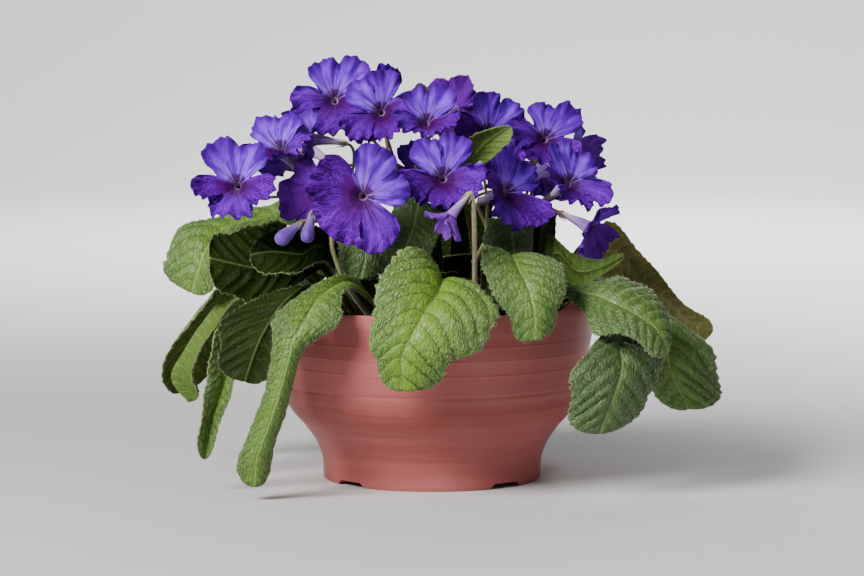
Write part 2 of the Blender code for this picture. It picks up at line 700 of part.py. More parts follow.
def curve_between(start, start_way, end, end_way, count, pull):
    """Points on an even cubic curve that leaves start along start_way and comes into end along end_way."""
    a, b = start + start_way * pull, end - end_way * pull
    shares = [k / (count - 1) for k in range(count)]
    return [start * (1 - t) ** 3 + (a * (1 - t) + b * t) * 3 * t * (1 - t) + end * t**3 for t in shares]


def stalk_solid(name, stalk, finish):
    """A stem with its stalklets fused on. Each stalklet widens into the calyx that holds a flower or bud."""
    places, ways = smooth_path(planted(stalk["stem"]), STEM_STATIONS)
    radii = [STEM_RADIUS * (1.0 - 0.25 * k / (STEM_STATIONS - 1)) for k in range(STEM_STATIONS)]
    points, faces = stem_tube(places, radii, STEM_SIDES)
    made = add_object(name, points, faces, finish)
    for step, end_name in enumerate(stalk["ends"]):
        end, end_way = tube_end(FLOWERS[end_name]) if end_name in FLOWERS else bud_end(BUDS[end_name])
        end = end - end_way * SEAT_GAP
        fork = places[-1] - ways[-1] * (FORK_START + FORK_STEP * step)
        pull = min(STALKLET_PULL, (end - fork).length * 0.4)
        route = curve_between(fork, ways[-1], end, end_way, STALKLET_STATIONS, pull)
        radii = [STALKLET_RADIUS] * (STALKLET_STATIONS - 1) + [CALYX_RADIUS]
        points, faces = stem_tube(route, radii, STALKLET_SIDES, end_way)
        apply_boolean(made, add_object("stalklet", points, faces, finish), "UNION")
    return made


def pot_solid(finish):
    """The bowl: turned from its profile, then cut for the drain notches and the drain holes."""
    ring = FOOT_RADIUS - FOOT_RING_WIDTH
    outer = [(ring, 0.0), (FOOT_RADIUS, 0.0)]
    outer += [(r, z) for z, r in OUTER_WALL]
    outer += [(RIM_RADIUS, POT_HEIGHT - LIP_HEIGHT), (RIM_RADIUS, POT_HEIGHT)]
    outer += [(RIM_RADIUS - WALL, POT_HEIGHT)]
    inner = [(r - WALL, z) for z, r in reversed(OUTER_WALL)]
    inner += [(FOOT_RADIUS - WALL - 1.0, FLOOR_HIGH)]
    profile = [(0.0, FLOOR_LOW), (ring, FLOOR_LOW), *outer, *inner, (0.0, FLOOR_HIGH)]
    points, faces = turned(profile, POT_SIDES)
    made = add_object("pot", points, faces, finish)
    for angle in NOTCH_ANGLES:
        apply_boolean(made, notch_cutter(angle), "DIFFERENCE")
    for k in range(4):
        angle = math.radians(45.0 + 90.0 * k)
        centre = Vector((math.cos(angle), math.sin(angle), 0.0)) * DRAIN_CIRCLE
        apply_boolean(made, prism(centre, DRAIN_RADIUS, 8, FLOOR_LOW - 2, FLOOR_HIGH + 2), "DIFFERENCE")
    return made


def prism(centre, radius, sides, low, high):
    points, faces = turned([(0.0, low), (radius, low), (radius, high), (0.0, high)], sides)
    moved = [Vector(p) + Vector((centre.x, centre.y, 0.0)) for p in points]
    return add_object("cutter", moved, faces, None, smooth=False)


def notch_cutter(angle):
    """A wedge with sloped ends, across the foot ring."""
    half, top = NOTCH_WIDTH / 2, NOTCH_WIDTH / 2 - NOTCH_SLOPE
    low = half + NOTCH_SLOPE
    section = ((-low, -NOTCH_HEIGHT), (low, -NOTCH_HEIGHT), (top, NOTCH_HEIGHT), (-top, NOTCH_HEIGHT))
    turn = Matrix.Rotation(math.radians(angle), 4, "Z")
    near, far = FOOT_RADIUS - FOOT_RING_WIDTH - 4.0, FOOT_RADIUS + 6.0
    points = [turn @ Vector((x, y, z)) for x in (near, far) for y, z in section]
    faces = [(3, 2, 1, 0), (4, 5, 6, 7), (0, 1, 5, 4), (1, 2, 6, 5), (2, 3, 7, 6), (3, 0, 4, 7)]
    return add_object("cutter", points, faces, None, smooth=False)


def soil_solid(finish, holes):
    """The potting soil, with a plain hole for each stem, given as x, y and radius."""
    low = FLOOR_HIGH + SEAT_GAP
    profile = [(0.0, low), (SOIL_FOOT_RADIUS, low), *SOIL_PROFILE]
    profile += [(SOIL_PROFILE[-1][0] - SOIL_EDGE, SOIL_TOP), (0.0, SOIL_TOP)]
    points, faces = turned(profile, SOIL_SIDES)
    made = add_object("soil", points, faces, finish)
    for x, y, radius in holes:
        cutter = prism(Vector((x, y, 0.0)), radius, HOLE_SIDES, SOIL_TOP - HOLE_DEPTH, SOIL_TOP + 20.0)
        apply_boolean(made, cutter, "DIFFERENCE")
    return made


def main():
    clear_scene()
    pot_finish = material("pot_plastic", POT_COLOUR, 0.4)
    soil_finish = material("soil", SOIL_COLOUR, 0.95)
    leaf_finish = material("leaf", LEAF_COLOUR, 0.5)
    stalk_finish = material("stalk", STALK_COLOUR, 0.5)
    petal_finish = material("petal", PETAL_COLOUR, 0.5)
    bud_finish = material("bud", BUD_COLOUR, 0.5)
    pot_solid(pot_finish)
    holes = []
    for seed, (name, leaf) in enumerate(LEAVES.items()):
        leaf_solid(name, leaf, leaf_finish, seed)
        holes.append((*leaf["root"], LEAF_HOLE_RADIUS))
    for seed, (name, flower) in enumerate(FLOWERS.items()):
        flower_solid(name, flower, petal_finish, seed)
    for name, bud in BUDS.items():
        bud_solid(name, bud, bud_finish)
    for name, stalk in STALKS.items():
        stalk_solid(name, stalk, stalk_finish)
        holes.append((*stalk["stem"][0], STALK_HOLE_RADIUS))
    soil_solid(soil_finish, holes)


main()
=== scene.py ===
"""A cape primrose in its low plastic pot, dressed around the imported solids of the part.

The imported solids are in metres. Sizes here are in millimetres and degrees unless a comment says otherwise.
"""

import math

import bmesh
import bpy
import numpy as np
from mathutils import Matrix, Vector, noise


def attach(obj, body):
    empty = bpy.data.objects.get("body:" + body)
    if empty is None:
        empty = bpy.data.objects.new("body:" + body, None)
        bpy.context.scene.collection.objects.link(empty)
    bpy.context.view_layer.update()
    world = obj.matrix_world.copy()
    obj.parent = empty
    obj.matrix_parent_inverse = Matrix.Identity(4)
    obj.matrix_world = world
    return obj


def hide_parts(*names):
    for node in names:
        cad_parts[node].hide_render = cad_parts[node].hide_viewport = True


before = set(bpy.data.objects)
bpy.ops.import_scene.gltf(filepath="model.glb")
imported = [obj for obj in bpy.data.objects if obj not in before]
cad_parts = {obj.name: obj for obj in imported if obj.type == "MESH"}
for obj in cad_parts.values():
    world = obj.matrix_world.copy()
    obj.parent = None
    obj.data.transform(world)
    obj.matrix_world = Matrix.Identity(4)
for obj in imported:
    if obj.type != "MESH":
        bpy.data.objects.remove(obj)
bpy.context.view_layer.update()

MM = 0.001


# ---- The view: a long lens a little above the rim, looking slightly down. The pale studio floor runs up into a
# wall all round. One lamp at the front left lights the plant, one behind it the backdrop, and a weak one its shade.
CAMERA_PLACE = (0.0, -1.667, 0.250)  # metres
CAMERA_DIP = 4.95
LENS_LENGTH = 125.0
SENSOR_WIDTH = 36.0
FLOOR_RADIUS = 2900.0
FLOOR_BEND = 1500.0
BEND_STEPS = 12
WALL_TOP = 3600.0
STAGE_SIDES = 128
STAGE_GREY = (0.66, 0.66, 0.66, 1.0)
ROOM_COLOUR = (0.93, 0.96, 1.0, 1.0)
ROOM_STRENGTH = 0.10
# Each lamp's place, the point it is aimed at and its width in metres, its power in watts, its colour and its spread.
LAMPS = {
    "window": ((-1.30, -1.30, 1.45), (0.0, 0.0, 0.12), 1.1, 94.0, (1.0, 0.99, 0.97), 180.0),
    "backdrop": ((0.35, 1.3, 1.9), (0.25, 2.6, 0.0), 1.2, 80.0, (1.0, 1.0, 1.0), 120.0),
    "fill": ((0.75, 1.5, 1.2), (0.95, 0.35, 0.0), 1.0, 9.0, (1.0, 1.0, 1.0), 50.0),
}


def add_node(tree, kind, sockets=None, **settings):
    """A node with its settings. A socket gets either another node's socket or a plain value."""
    made = tree.nodes.new(kind)
    for key, value in settings.items():
        setattr(made, key, value)
    for key, value in (sockets or {}).items():
        if isinstance(value, bpy.types.NodeSocket):
            tree.links.new(value, made.inputs[key])
        else:
            made.inputs[key].default_value = value
    return made


def new_finish(name, **sockets):
    """A new material, its tree, and its shader with the given plain values."""
    made = bpy.data.materials.new(name)
    made.use_nodes = True
    shader = made.node_tree.nodes["Principled BSDF"]
    for key, value in sockets.items():
        shader.inputs[key.replace("_", " ")].default_value = value
    return made, made.node_tree, shader


def mesh_piece(name, points, faces, finishes, smooth=True):
    """Points in millimetres and faces become an object in metres, with the given materials."""
    mesh = bpy.data.meshes.new(name)
    mesh.from_pydata((np.asarray(points, float) * MM).tolist(), [], faces)
    for finish in finishes:
        mesh.materials.append(finish)
    if smooth:
        mesh.shade_smooth()
    made = bpy.data.objects.new(name, mesh)
    bpy.context.scene.collection.objects.link(made)
    return made


def turned(profile, sides):
    """A solid of revolution. The profile runs from the axis round to the axis again, as (radius, height)."""
    angles = 2 * np.pi * np.arange(sides) / sides
    points, faces, rings = [], [], []
    for radius, height in profile:
        count = 1 if radius < 1e-6 else sides
        rings.append(list(range(len(points), len(points) + count)))
        for angle in angles[:count]:
            points.append((radius * math.cos(angle), radius * math.sin(angle), height))
    for low, high in zip(rings, rings[1:]):
        for k in range(sides):
            j = (k + 1) % sides
            if len(low) == 1:
                faces.append((low[0], high[j], high[k]))
            elif len(high) == 1:
                faces.append((low[k], low[j], high[0]))
            else:
                faces.append((low[k], low[j], high[j], high[k]))
    return points, faces


def add_light(name, place, aim, size, watts, colour, spread):
    """A round lamp that points at its aim."""
    light = bpy.data.lights.new(name, "AREA")
    light.shape = "DISK"
    light.size = size
    light.energy = watts
    light.color = colour
    light.spread = math.radians(spread)
    made = bpy.data.objects.new(name, light)
    made.location = place
    made.rotation_euler = (Vector(aim) - Vector(place)).to_track_quat("-Z", "Y").to_euler()
    bpy.context.scene.collection.objects.link(made)


lens = bpy.data.cameras.new("camera")
lens.lens = LENS_LENGTH
lens.sensor_width = SENSOR_WIDTH
camera = bpy.data.objects.new("camera", lens)
camera.location = CAMERA_PLACE
camera.rotation_euler = (math.radians(90.0 - CAMERA_DIP), 0.0, 0.0)
bpy.context.scene.collection.objects.link(camera)
bpy.context.scene.camera = camera

bend = np.radians(np.linspace(0.0, 90.0, BEND_STEPS + 1))
stage_outline = [(0.0, 0.0), (FLOOR_RADIUS, 0.0)]
stage_outline += [(FLOOR_RADIUS + FLOOR_BEND * math.sin(a), FLOOR_BEND * (1 - math.cos(a))) for a in bend[1:]]
stage_outline.append((FLOOR_RADIUS + FLOOR_BEND, WALL_TOP))
stage_points, stage_faces = turned(stage_outline, STAGE_SIDES)
stage_finish, _, _ = new_finish("studio_floor", Base_Color=STAGE_GREY, Roughness=0.95)
floor = mesh_piece("floor", stage_points, [face[::-1] for face in stage_faces], [stage_finish])

room = bpy.data.worlds.new("room")
room.use_nodes = True
room.node_tree.nodes["Background"].inputs["Color"].default_value = ROOM_COLOUR
room.node_tree.nodes["Background"].inputs["Strength"].default_value = ROOM_STRENGTH
bpy.context.scene.world = room
for lamp, lamp_settings in LAMPS.items():
    add_light(lamp, *lamp_settings)


# ---- The pot: a low bowl moulded in terracotta-coloured plastic. Fine rings run round its wall, its lip is
# rounded, and its foot ring has four notches that let water out from the four holes in the raised floor.
POT_SIDES = 144
POT_HEIGHT = 98.0
RIM_RADIUS = 90.5
FOOT_RADIUS = 60.0
POT_WALL = 2.4
FLOOR_LOW = 4.5
FLOOR_HIGH = 7.0
FOOT_RING_WIDTH = 5.0
POT_OUTSIDE = (
    (60.6, 0.0), (60.9, 6.0), (61.4, 12.0), (64.8, 21.0), (71.2, 30.0), (77.4, 37.0), (80.9, 42.5),
    (83.3, 50.0), (85.4, 60.0), (87.4, 70.0), (89.1, 80.0), (90.2, 90.0), (90.5, 95.0),
)
# The rings moulded round the wall: each one's height, how far it stands out, and its width.
POT_RINGS = (
    (80.7, 0.22, 0.5), (73.2, 0.20, 0.5), (65.2, 0.26, 0.6), (53.6, -0.45, 0.9), (43.5, 0.25, 1.2), (30.5, -0.3, 1.0),
)
RING_ROWS = (-2, -1.2, -0.6, 0, 0.6, 1.2, 2)
PLAIN_ROWS = 34
WALL_SAMPLES = 240
LIP_ROUND = 0.9
NOTCH_ANGLES = (-48.0, 42.0, 132.0, 222.0)
NOTCH_WIDTH = 23.0
NOTCH_HEIGHT = 2.8
NOTCH_SLOPE = 3.5
NOTCH_REACH = (4.0, 6.0)
DRAIN_ANGLES = (45.0, 135.0, 225.0, 315.0)
DRAIN_RADIUS = 4.0
DRAIN_CIRCLE = 34.0
DRAIN_SIDES = 24
SHARP_EDGE = 38.0


def between(knots, t):
    """A smooth curve through the knots, at t knots from the first. It is straight up to the second knot."""
    knots = np.asarray(knots, float)
    t = np.asarray(t, float)
    i = np.minimum(t.astype(int), len(knots) - 2)
    share = (t - i)[:, None]
    b, c = knots[i], knots[i + 1]
    a = knots[np.maximum(i - 1, 0)]
    beyond = (i + 2 >= len(knots))[:, None]
    d = np.where(beyond, 2 * c - b, knots[np.minimum(i + 2, len(knots) - 1)])
    curved = 2 * b + (c - a) * share + (2 * a - 5 * b + 4 * c - d) * share**2 + (3 * b - a - 3 * c + d) * share**3
    return np.where((i == 0)[:, None], b + (c - b) * share, 0.5 * curved)


def settle(target):
    """What the object's modifiers make becomes its own mesh."""
    graph = bpy.context.evaluated_depsgraph_get()
    result = bpy.data.meshes.new_from_object(target.evaluated_get(graph))
    target.modifiers.clear()
    target.data = result


def combine(target, other, operation):
    """Cuts another solid out of the target or fuses it on, and uses that solid up."""
    step = target.modifiers.new("step", "BOOLEAN")
    step.operation = operation
    step.solver = "EXACT"
    step.object = other
    settle(target)
    bpy.data.objects.remove(other, do_unlink=True)


def pot_outline():
    """The outside from the foot to the lip, with more points where a ring runs round."""
    wall = between(POT_OUTSIDE, np.linspace(0.0, len(POT_OUTSIDE) - 1, WALL_SAMPLES))
    heights = set(np.linspace(0.8, POT_HEIGHT - 3.0, PLAIN_ROWS).round(2))
    for height, _, width in POT_RINGS:
        heights |= {round(height + width * k, 2) for k in RING_ROWS}
    outline = []
    for z in sorted(heights):
        radius = float(np.interp(z, wall[:, 1], wall[:, 0]))
        radius += sum(depth * math.exp(-(((z - height) / width) ** 2)) for height, depth, width in POT_RINGS)
        outline.append((radius, z))
    return outline


def pot_profile():
    """The whole wall's section: under the floor, up the outside, over the lip and down the inside."""
    ring = FOOT_RADIUS - FOOT_RING_WIDTH
    outside = [(ring, 0.5), (ring + 0.5, 0.0), (FOOT_RADIUS, 0.0), *pot_outline()]
    turn = [math.radians(a) for a in (0, 30, 60, 90)]
    top = POT_HEIGHT - LIP_ROUND
    lip = [(RIM_RADIUS - LIP_ROUND * (1 - math.cos(a)), top + LIP_ROUND * math.sin(a)) for a in turn]
    inner_top = RIM_RADIUS - POT_WALL + LIP_ROUND
    lip += [(inner_top - LIP_ROUND * math.sin(a), top + LIP_ROUND * math.cos(a)) for a in turn]
    inside = [(r - POT_WALL, z) for r, z in reversed(POT_OUTSIDE[2:-1])]
    inside += [(FOOT_RADIUS - POT_WALL - 1.0, FLOOR_HIGH)]
    return [(0.0, FLOOR_LOW), (ring, FLOOR_LOW), *outside, *lip, *inside, (0.0, FLOOR_HIGH)]


def drain_cutters():
    """Wedges with sloped ends for the notches, and round bars for the holes."""
    wide, top = NOTCH_WIDTH / 2 + NOTCH_SLOPE, NOTCH_WIDTH / 2 - NOTCH_SLOPE
    section = ((-wide, -NOTCH_HEIGHT), (wide, -NOTCH_HEIGHT), (top, NOTCH_HEIGHT), (-top, NOTCH_HEIGHT))
    wedge = [(3, 2, 1, 0), (4, 5, 6, 7), (0, 1, 5, 4), (1, 2, 6, 5), (2, 3, 7, 6), (3, 0, 4, 7)]
    near, far = FOOT_RADIUS - FOOT_RING_WIDTH - NOTCH_REACH[0], FOOT_RADIUS + NOTCH_REACH[1]
    for angle in NOTCH_ANGLES:
        turn = Matrix.Rotation(math.radians(angle), 3, "Z")
        points = [turn @ Vector((x, y, z)) for x in (near, far) for y, z in section]
        yield mesh_piece("cutter", points, wedge, [], smooth=False)
    low, high = FLOOR_LOW - 2, FLOOR_HIGH + 2
    bar = [(0.0, low), (DRAIN_RADIUS, low), (DRAIN_RADIUS, high), (0.0, high)]
    for angle in np.radians(DRAIN_ANGLES):
        points, faces = turned(bar, DRAIN_SIDES)
        shift = np.array((math.cos(angle), math.sin(angle), 0.0)) * DRAIN_CIRCLE
        yield mesh_piece("cutter", np.array(points) + shift, faces, [], smooth=False)


def blend_colour(tree, share, first, second):
    """A mix of two colours. Each value is another node's socket or plain."""
    made = add_node(tree, "ShaderNodeMix", data_type="RGBA")
    for value, socket in ((share, made.inputs[0]), (first, made.inputs[6]), (second, made.inputs[7])):
        if isinstance(value, bpy.types.NodeSocket):
            tree.links.new(value, socket)
        else:
            socket.default_value = (*value, 1.0) if isinstance(value, tuple) else value
    return made.outputs[2]


def coats(tree, base, *layers):
    """One colour laid over another. Each layer is how thickly it lies, from 0 to 1, and its colour."""
    for share, colour in layers:
        base = blend_colour(tree, share, base, colour)
    return base


def span(tree, value, low, high, start=0.0, end=1.0):
    """A smooth step from one number to another as the value goes from low to high."""
    sockets = {"Value": value, "From Min": low, "From Max": high, "To Min": start, "To Max": end}
    return add_node(tree, "ShaderNodeMapRange", sockets, interpolation_type="SMOOTHSTEP").outputs[0]


def noise_at(tree, where, scale, detail=2.0, roughness=0.5):
    """A cloudy pattern from 0 to 1."""
    sockets = {"Vector": where, "Scale": scale, "Detail": detail, "Roughness": roughness}
    return add_node(tree, "ShaderNodeTexNoise", sockets).outputs["Fac"]


def stretched(tree, where, x, y, z):
    """The same place with each direction scaled by its own number."""
    return add_node(tree, "ShaderNodeMapping", {"Vector": where, "Scale": (x, y, z)}).outputs[0]


def bumped(tree, height, strength, distance, under=None):
    """A normal bent by a height. Another bend can lie under it."""
    sockets = {"Height": height, "Strength": strength, "Distance": distance}
    if under is not None:
        sockets["Normal"] = under
    return add_node(tree, "ShaderNodeBump", sockets).outputs[0]


def object_place(tree):
    """The place on the object, in metres."""
    return add_node(tree, "ShaderNodeTexCoord").outputs["Object"]


def pot_finish():
    """Satin plastic with faint streaks round the wall, dusty patches and a few pale scuffs."""
    finish, tree, shader = new_finish("pot_plastic", Roughness=0.45, Specular_IOR_Level=0.06)
    where = object_place(tree)
    streak = noise_at(tree, stretched(tree, where, 5.0, 5.0, 170.0), 1.0, 5.0, 0.62)
    cloud = noise_at(tree, where, 16.0, 4.0, 0.55)
    band = noise_at(tree, stretched(tree, where, 3.0, 3.0, 34.0), 1.0)
    wall = coats(
        tree, (0.31, 0.080, 0.072),
        (span(tree, band, 0.32, 0.66), (0.44, 0.130, 0.125)),
        (span(tree, streak, 0.45, 0.78, 0.0, 0.30), (0.52, 0.22, 0.20)),
        (span(tree, cloud, 0.48, 0.80, 0.0, 0.22), (0.44, 0.21, 0.215)),
    )
    tree.links.new(wall, shader.inputs["Base Color"])
    tree.links.new(span(tree, cloud, 0.3, 0.7, 0.34, 0.50), shader.inputs["Roughness"])
    fine = bumped(tree, noise_at(tree, where, 900.0), 0.05, 0.0004)
    tree.links.new(bumped(tree, streak, 0.25, 0.0006, fine), shader.inputs["Normal"])
    return finish


pot_points, pot_faces = turned(pot_profile(), POT_SIDES)
pot = mesh_piece("pot_moulding", pot_points, pot_faces, [pot_finish()])
for cutter in drain_cutters():
    combine(pot, cutter, "DIFFERENCE")
pot.data.set_sharp_from_angle(angle=math.radians(SHARP_EDGE))
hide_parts("pot")
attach(pot, "root")


# ---- The soil: dark peat pressed down a little under the rim. Its top is uneven and strewn with loose crumbs,
# a few bits of bark and some white grains of perlite.
SOIL_TOP = 84.0
SOIL_SIDES = 96
SOIL_TOP_RADIUS = 80.3
SOIL_RING_STEP = 2.5
SOIL_ROLL = 1.6
SOIL_HUMP = 17.0
SOIL_LUMP = 5.0
SOIL_SINK = 0.3
CRUMB_SINK = 0.1
SOIL_OUTSIDE = ((55.2, 7.3), (57.6, 12.0), (62.0, 24.0), (73.0, 38.0), (80.0, 52.0), (84.5, 74.0), (85.3, 82.5))


def add_sockets(tree, inputs):
    """The tree's geometry sockets and named number inputs. Returns each input's identifier."""
    tree.interface.new_socket("Geometry", in_out="INPUT", socket_type="NodeSocketGeometry")
    tree.interface.new_socket("Geometry", in_out="OUTPUT", socket_type="NodeSocketGeometry")
    known = {}
    for name, kind in inputs.items():
        known[name] = tree.interface.new_socket(name, in_out="INPUT", socket_type=kind).identifier
    return known


def run_tree(target, tree, known, values):
    """The tree's result becomes the object's own mesh."""
    step = target.modifiers.new("made", "NODES")
    step.node_group = tree
    for name, value in values.items():
        step[known[name]] = value
    settle(target)


def times(tree, first, second):
    """One number times another."""
    return add_node(tree, "ShaderNodeMath", {0: first, 1: second}, operation="MULTIPLY").outputs[0]


def scatter_tree(name, shape_kind, shape_settings, lean=None):
    """Strews small copies of one shape over the faces that a 0-1 attribute called bearing marks.

    The copies stand on the faces and lean by up to so many radians, or lie any way round where no lean is given.
    """
    tree = bpy.data.node_groups.new(name, "GeometryNodeTree")
    known = add_sockets(tree, {
        "Count per Square Metre": "NodeSocketFloat", "Smallest": "NodeSocketFloat", "Largest": "NodeSocketFloat",
        "Sink": "NodeSocketFloat", "Seed": "NodeSocketInt", "Finish": "NodeSocketMaterial",
    })
    start = add_node(tree, "NodeGroupInput").outputs
    bearing = add_node(tree, "GeometryNodeInputNamedAttribute", {"Name": "bearing"}, data_type="FLOAT").outputs[0]
    thickness = times(tree, bearing, start["Count per Square Metre"])
    spots = add_node(tree, "GeometryNodeDistributePointsOnFaces", {
        "Mesh": start["Geometry"], "Density": thickness, "Seed": start["Seed"],
    })
    shape = add_node(tree, shape_kind, shape_settings)
    size = add_node(tree, "FunctionNodeRandomValue", {"Seed": start["Seed"]}, data_type="FLOAT")
    tree.links.new(start["Smallest"], size.inputs[2])
    tree.links.new(start["Largest"], size.inputs[3])
    copies = add_node(tree, "GeometryNodeInstanceOnPoints", {
        "Points": spots.outputs["Points"], "Instance": shape.outputs["Mesh"], "Scale": size.outputs[1],
    })
    full_turn = 6.28
    turn = add_node(tree, "FunctionNodeRandomValue", {"Seed": start["Seed"]}, data_type="FLOAT_VECTOR")
    turn.inputs[0].default_value = (-lean, -lean, 0.0) if lean else (0.0, 0.0, 0.0)
    turn.inputs[1].default_value = (lean, lean, full_turn) if lean else (full_turn, full_turn, full_turn)
    turning = turn.outputs[0]
    if lean:
        upright = {"Rotation": spots.outputs["Rotation"], 1: turning}
        turning = add_node(tree, "FunctionNodeRotateRotation", upright, rotation_space="LOCAL").outputs[0]
    tree.links.new(turning, copies.inputs["Rotation"])
    down = add_node(tree, "ShaderNodeCombineXYZ", {"Z": times(tree, size.outputs[1], start["Sink"])})
    sunk = add_node(tree, "GeometryNodeTranslateInstances", {
        "Instances": copies.outputs[0], "Translation": down.outputs[0],
    })
    loose = add_node(tree, "GeometryNodeRealizeInstances", {"Geometry": sunk.outputs[0]})
    coated = add_node(tree, "GeometryNodeSetMaterial", {"Geometry": loose.outputs[0], "Material": start["Finish"]})
    joined = add_node(tree, "GeometryNodeJoinGeometry")
    tree.links.new(start["Geometry"], joined.inputs[0])
    tree.links.new(coated.outputs[0], joined.inputs[0])
    add_node(tree, "NodeGroupOutput", {0: joined.outputs[0]})
    return tree, known


def bearing_mark(target, values):
    """Marks how thickly each point of the mesh is strewn, from 0 to 1."""
    mark = target.data.attributes.new("bearing", "FLOAT", "POINT")
    mark.data.foreach_set("value", np.asarray(values, np.float32))


def peat_finish():
    """Nearly black peat with brown crumbs."""
    finish, tree, shader = new_finish("soil", Roughness=0.92, Specular_IOR_Level=0.25)
    where = object_place(tree)
    crumbs = noise_at(tree, where, 260.0, 6.0, 0.7)
    peaty = blend_colour(tree, span(tree, crumbs, 0.36, 0.72), (0.006, 0.0042, 0.003), (0.042, 0.028, 0.017))
    tree.links.new(peaty, shader.inputs["Base Color"])
    tree.links.new(bumped(tree, crumbs, 0.8, 0.0012), shader.inputs["Normal"])
    return finish


def grit_finish(name, dark, pale, roughness):
    """A plain dull material that varies a little from grain to grain."""
    finish, tree, shader = new_finish(name, Roughness=roughness)
    mottle = noise_at(tree, object_place(tree), 420.0, 3.0)
    tree.links.new(blend_colour(tree, mottle, dark, pale), shader.inputs["Base Color"])
    tree.links.new(bumped(tree, mottle, 0.6, 0.0006), shader.inputs["Normal"])
    return finish


top_rings = [(r, SOIL_TOP) for r in np.arange(SOIL_TOP_RADIUS, 1.0, -SOIL_RING_STEP)]
soil_outline = [(0.0, SOIL_OUTSIDE[0][1]), *SOIL_OUTSIDE, *top_rings, (0.0, SOIL_TOP)]
soil_points, soil_faces = turned(soil_outline, SOIL_SIDES)
soil_points = np.array(soil_points)
on_top = soil_points[:, 2] > SOIL_TOP - 0.1
for k in np.flatnonzero(on_top):
    x, y, _ = soil_points[k]
    roll = noise.noise(Vector((x, y, 0.0)) / SOIL_HUMP) + 0.5 * noise.noise(Vector((x, y, 40.0)) / SOIL_LUMP)
    soil_points[k, 2] += SOIL_ROLL * roll - SOIL_SINK
peat = peat_finish()
soil = mesh_piece("potting_soil", soil_points, soil_faces, [peat])
bearing_mark(soil, on_top)
strew, strew_inputs = scatter_tree("soil_crumbs", "GeometryNodeMeshIcoSphere", {"Radius": 1.0, "Subdivisions": 1})
# Crumbs, bark and perlite: a seed, how many lie on a square metre, the smallest and largest in metres, the material.
for seed, count, smallest, largest, finish in (
    (3, 60000.0, 0.0007, 0.0021, peat),
    (5, 5200.0, 0.0011, 0.0026, grit_finish("bark", (0.035, 0.017, 0.009), (0.10, 0.052, 0.027), 0.85)),
    (9, 1500.0, 0.0008, 0.0017, grit_finish("perlite", (0.42, 0.41, 0.38), (0.70, 0.69, 0.66), 0.8)),
):
    run_tree(soil, strew, strew_inputs, {
        "Count per Square Metre": count, "Smallest": smallest, "Largest": largest, "Sink": CRUMB_SINK, "Seed": seed,
        "Finish": finish,
    })
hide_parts("soil")
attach(soil, "root")


# ---- The leaves: each grows from the crown on a short thick stalk. The blade is puckered between its veins,
# scalloped along its edge and finely haired. The veins are sunk above and stand out below.
LEAF_STATIONS = 92
LEAF_LANES = 46
LEAF_STALK_HALF = 2.6
LEAF_OVER_SHARE = 1.8
LEAF_EDGE_THICK = 0.6
LEAF_RIB_THICK = 2.6
LEAF_STALK_THICK = 2.2
LEAF_PUFF = 0.08
LEAF_SCALLOP = 0.030
LEAF_TOOTH = 0.030
LEAF_TIP_SHARE = 0.10
# Where along the leaf its stalk turns into blade, and where its waves and its scallops begin and are full.
BLADE_BEGINS = (0.16, 0.34)
WAVES_BEGIN = (0.2, 0.5)
SCALLOPS_BEGIN = (0.3, 0.5)
CAD_STATIONS = 15
HOLE_DEPTH = 6.0
SEAT_GAP = 0.3
ROOT_LOW = SOIL_TOP - HOLE_DEPTH + SEAT_GAP
ROOT_HIGH = SOIL_TOP + 2.0
# The side veins' spacing on a wide leaf, their slant and bend, and how far the blade rises between them.
VEIN_SPACING = 7.2
WIDE_LEAF = 24.0
WIDE_RELIEF = 22.0
VEIN_SLOPE = 0.55
VEIN_BEND = 0.011
VEIN_STAGGER = 0.35
VEIN_WANDER = 0.10
VEIN_RISE = 2.1
RIB_SINK = 0.8
RIB_WIDTH = 1.3
CELLS_PER_CM = 3.7
FINE_CELLS = 2.1
PUCKER_HEIGHT = 0.00055  # metres
PUCKER_STRETCH = (0.62, 1.30)
LEAF_HAIRS = 1.2e6  # per square metre
LEAF_HAIR_LENGTHS = (0.0007, 0.0015)  # metres
HAIRS_INSIDE = 0.06
HAIR_LEAN = 0.45

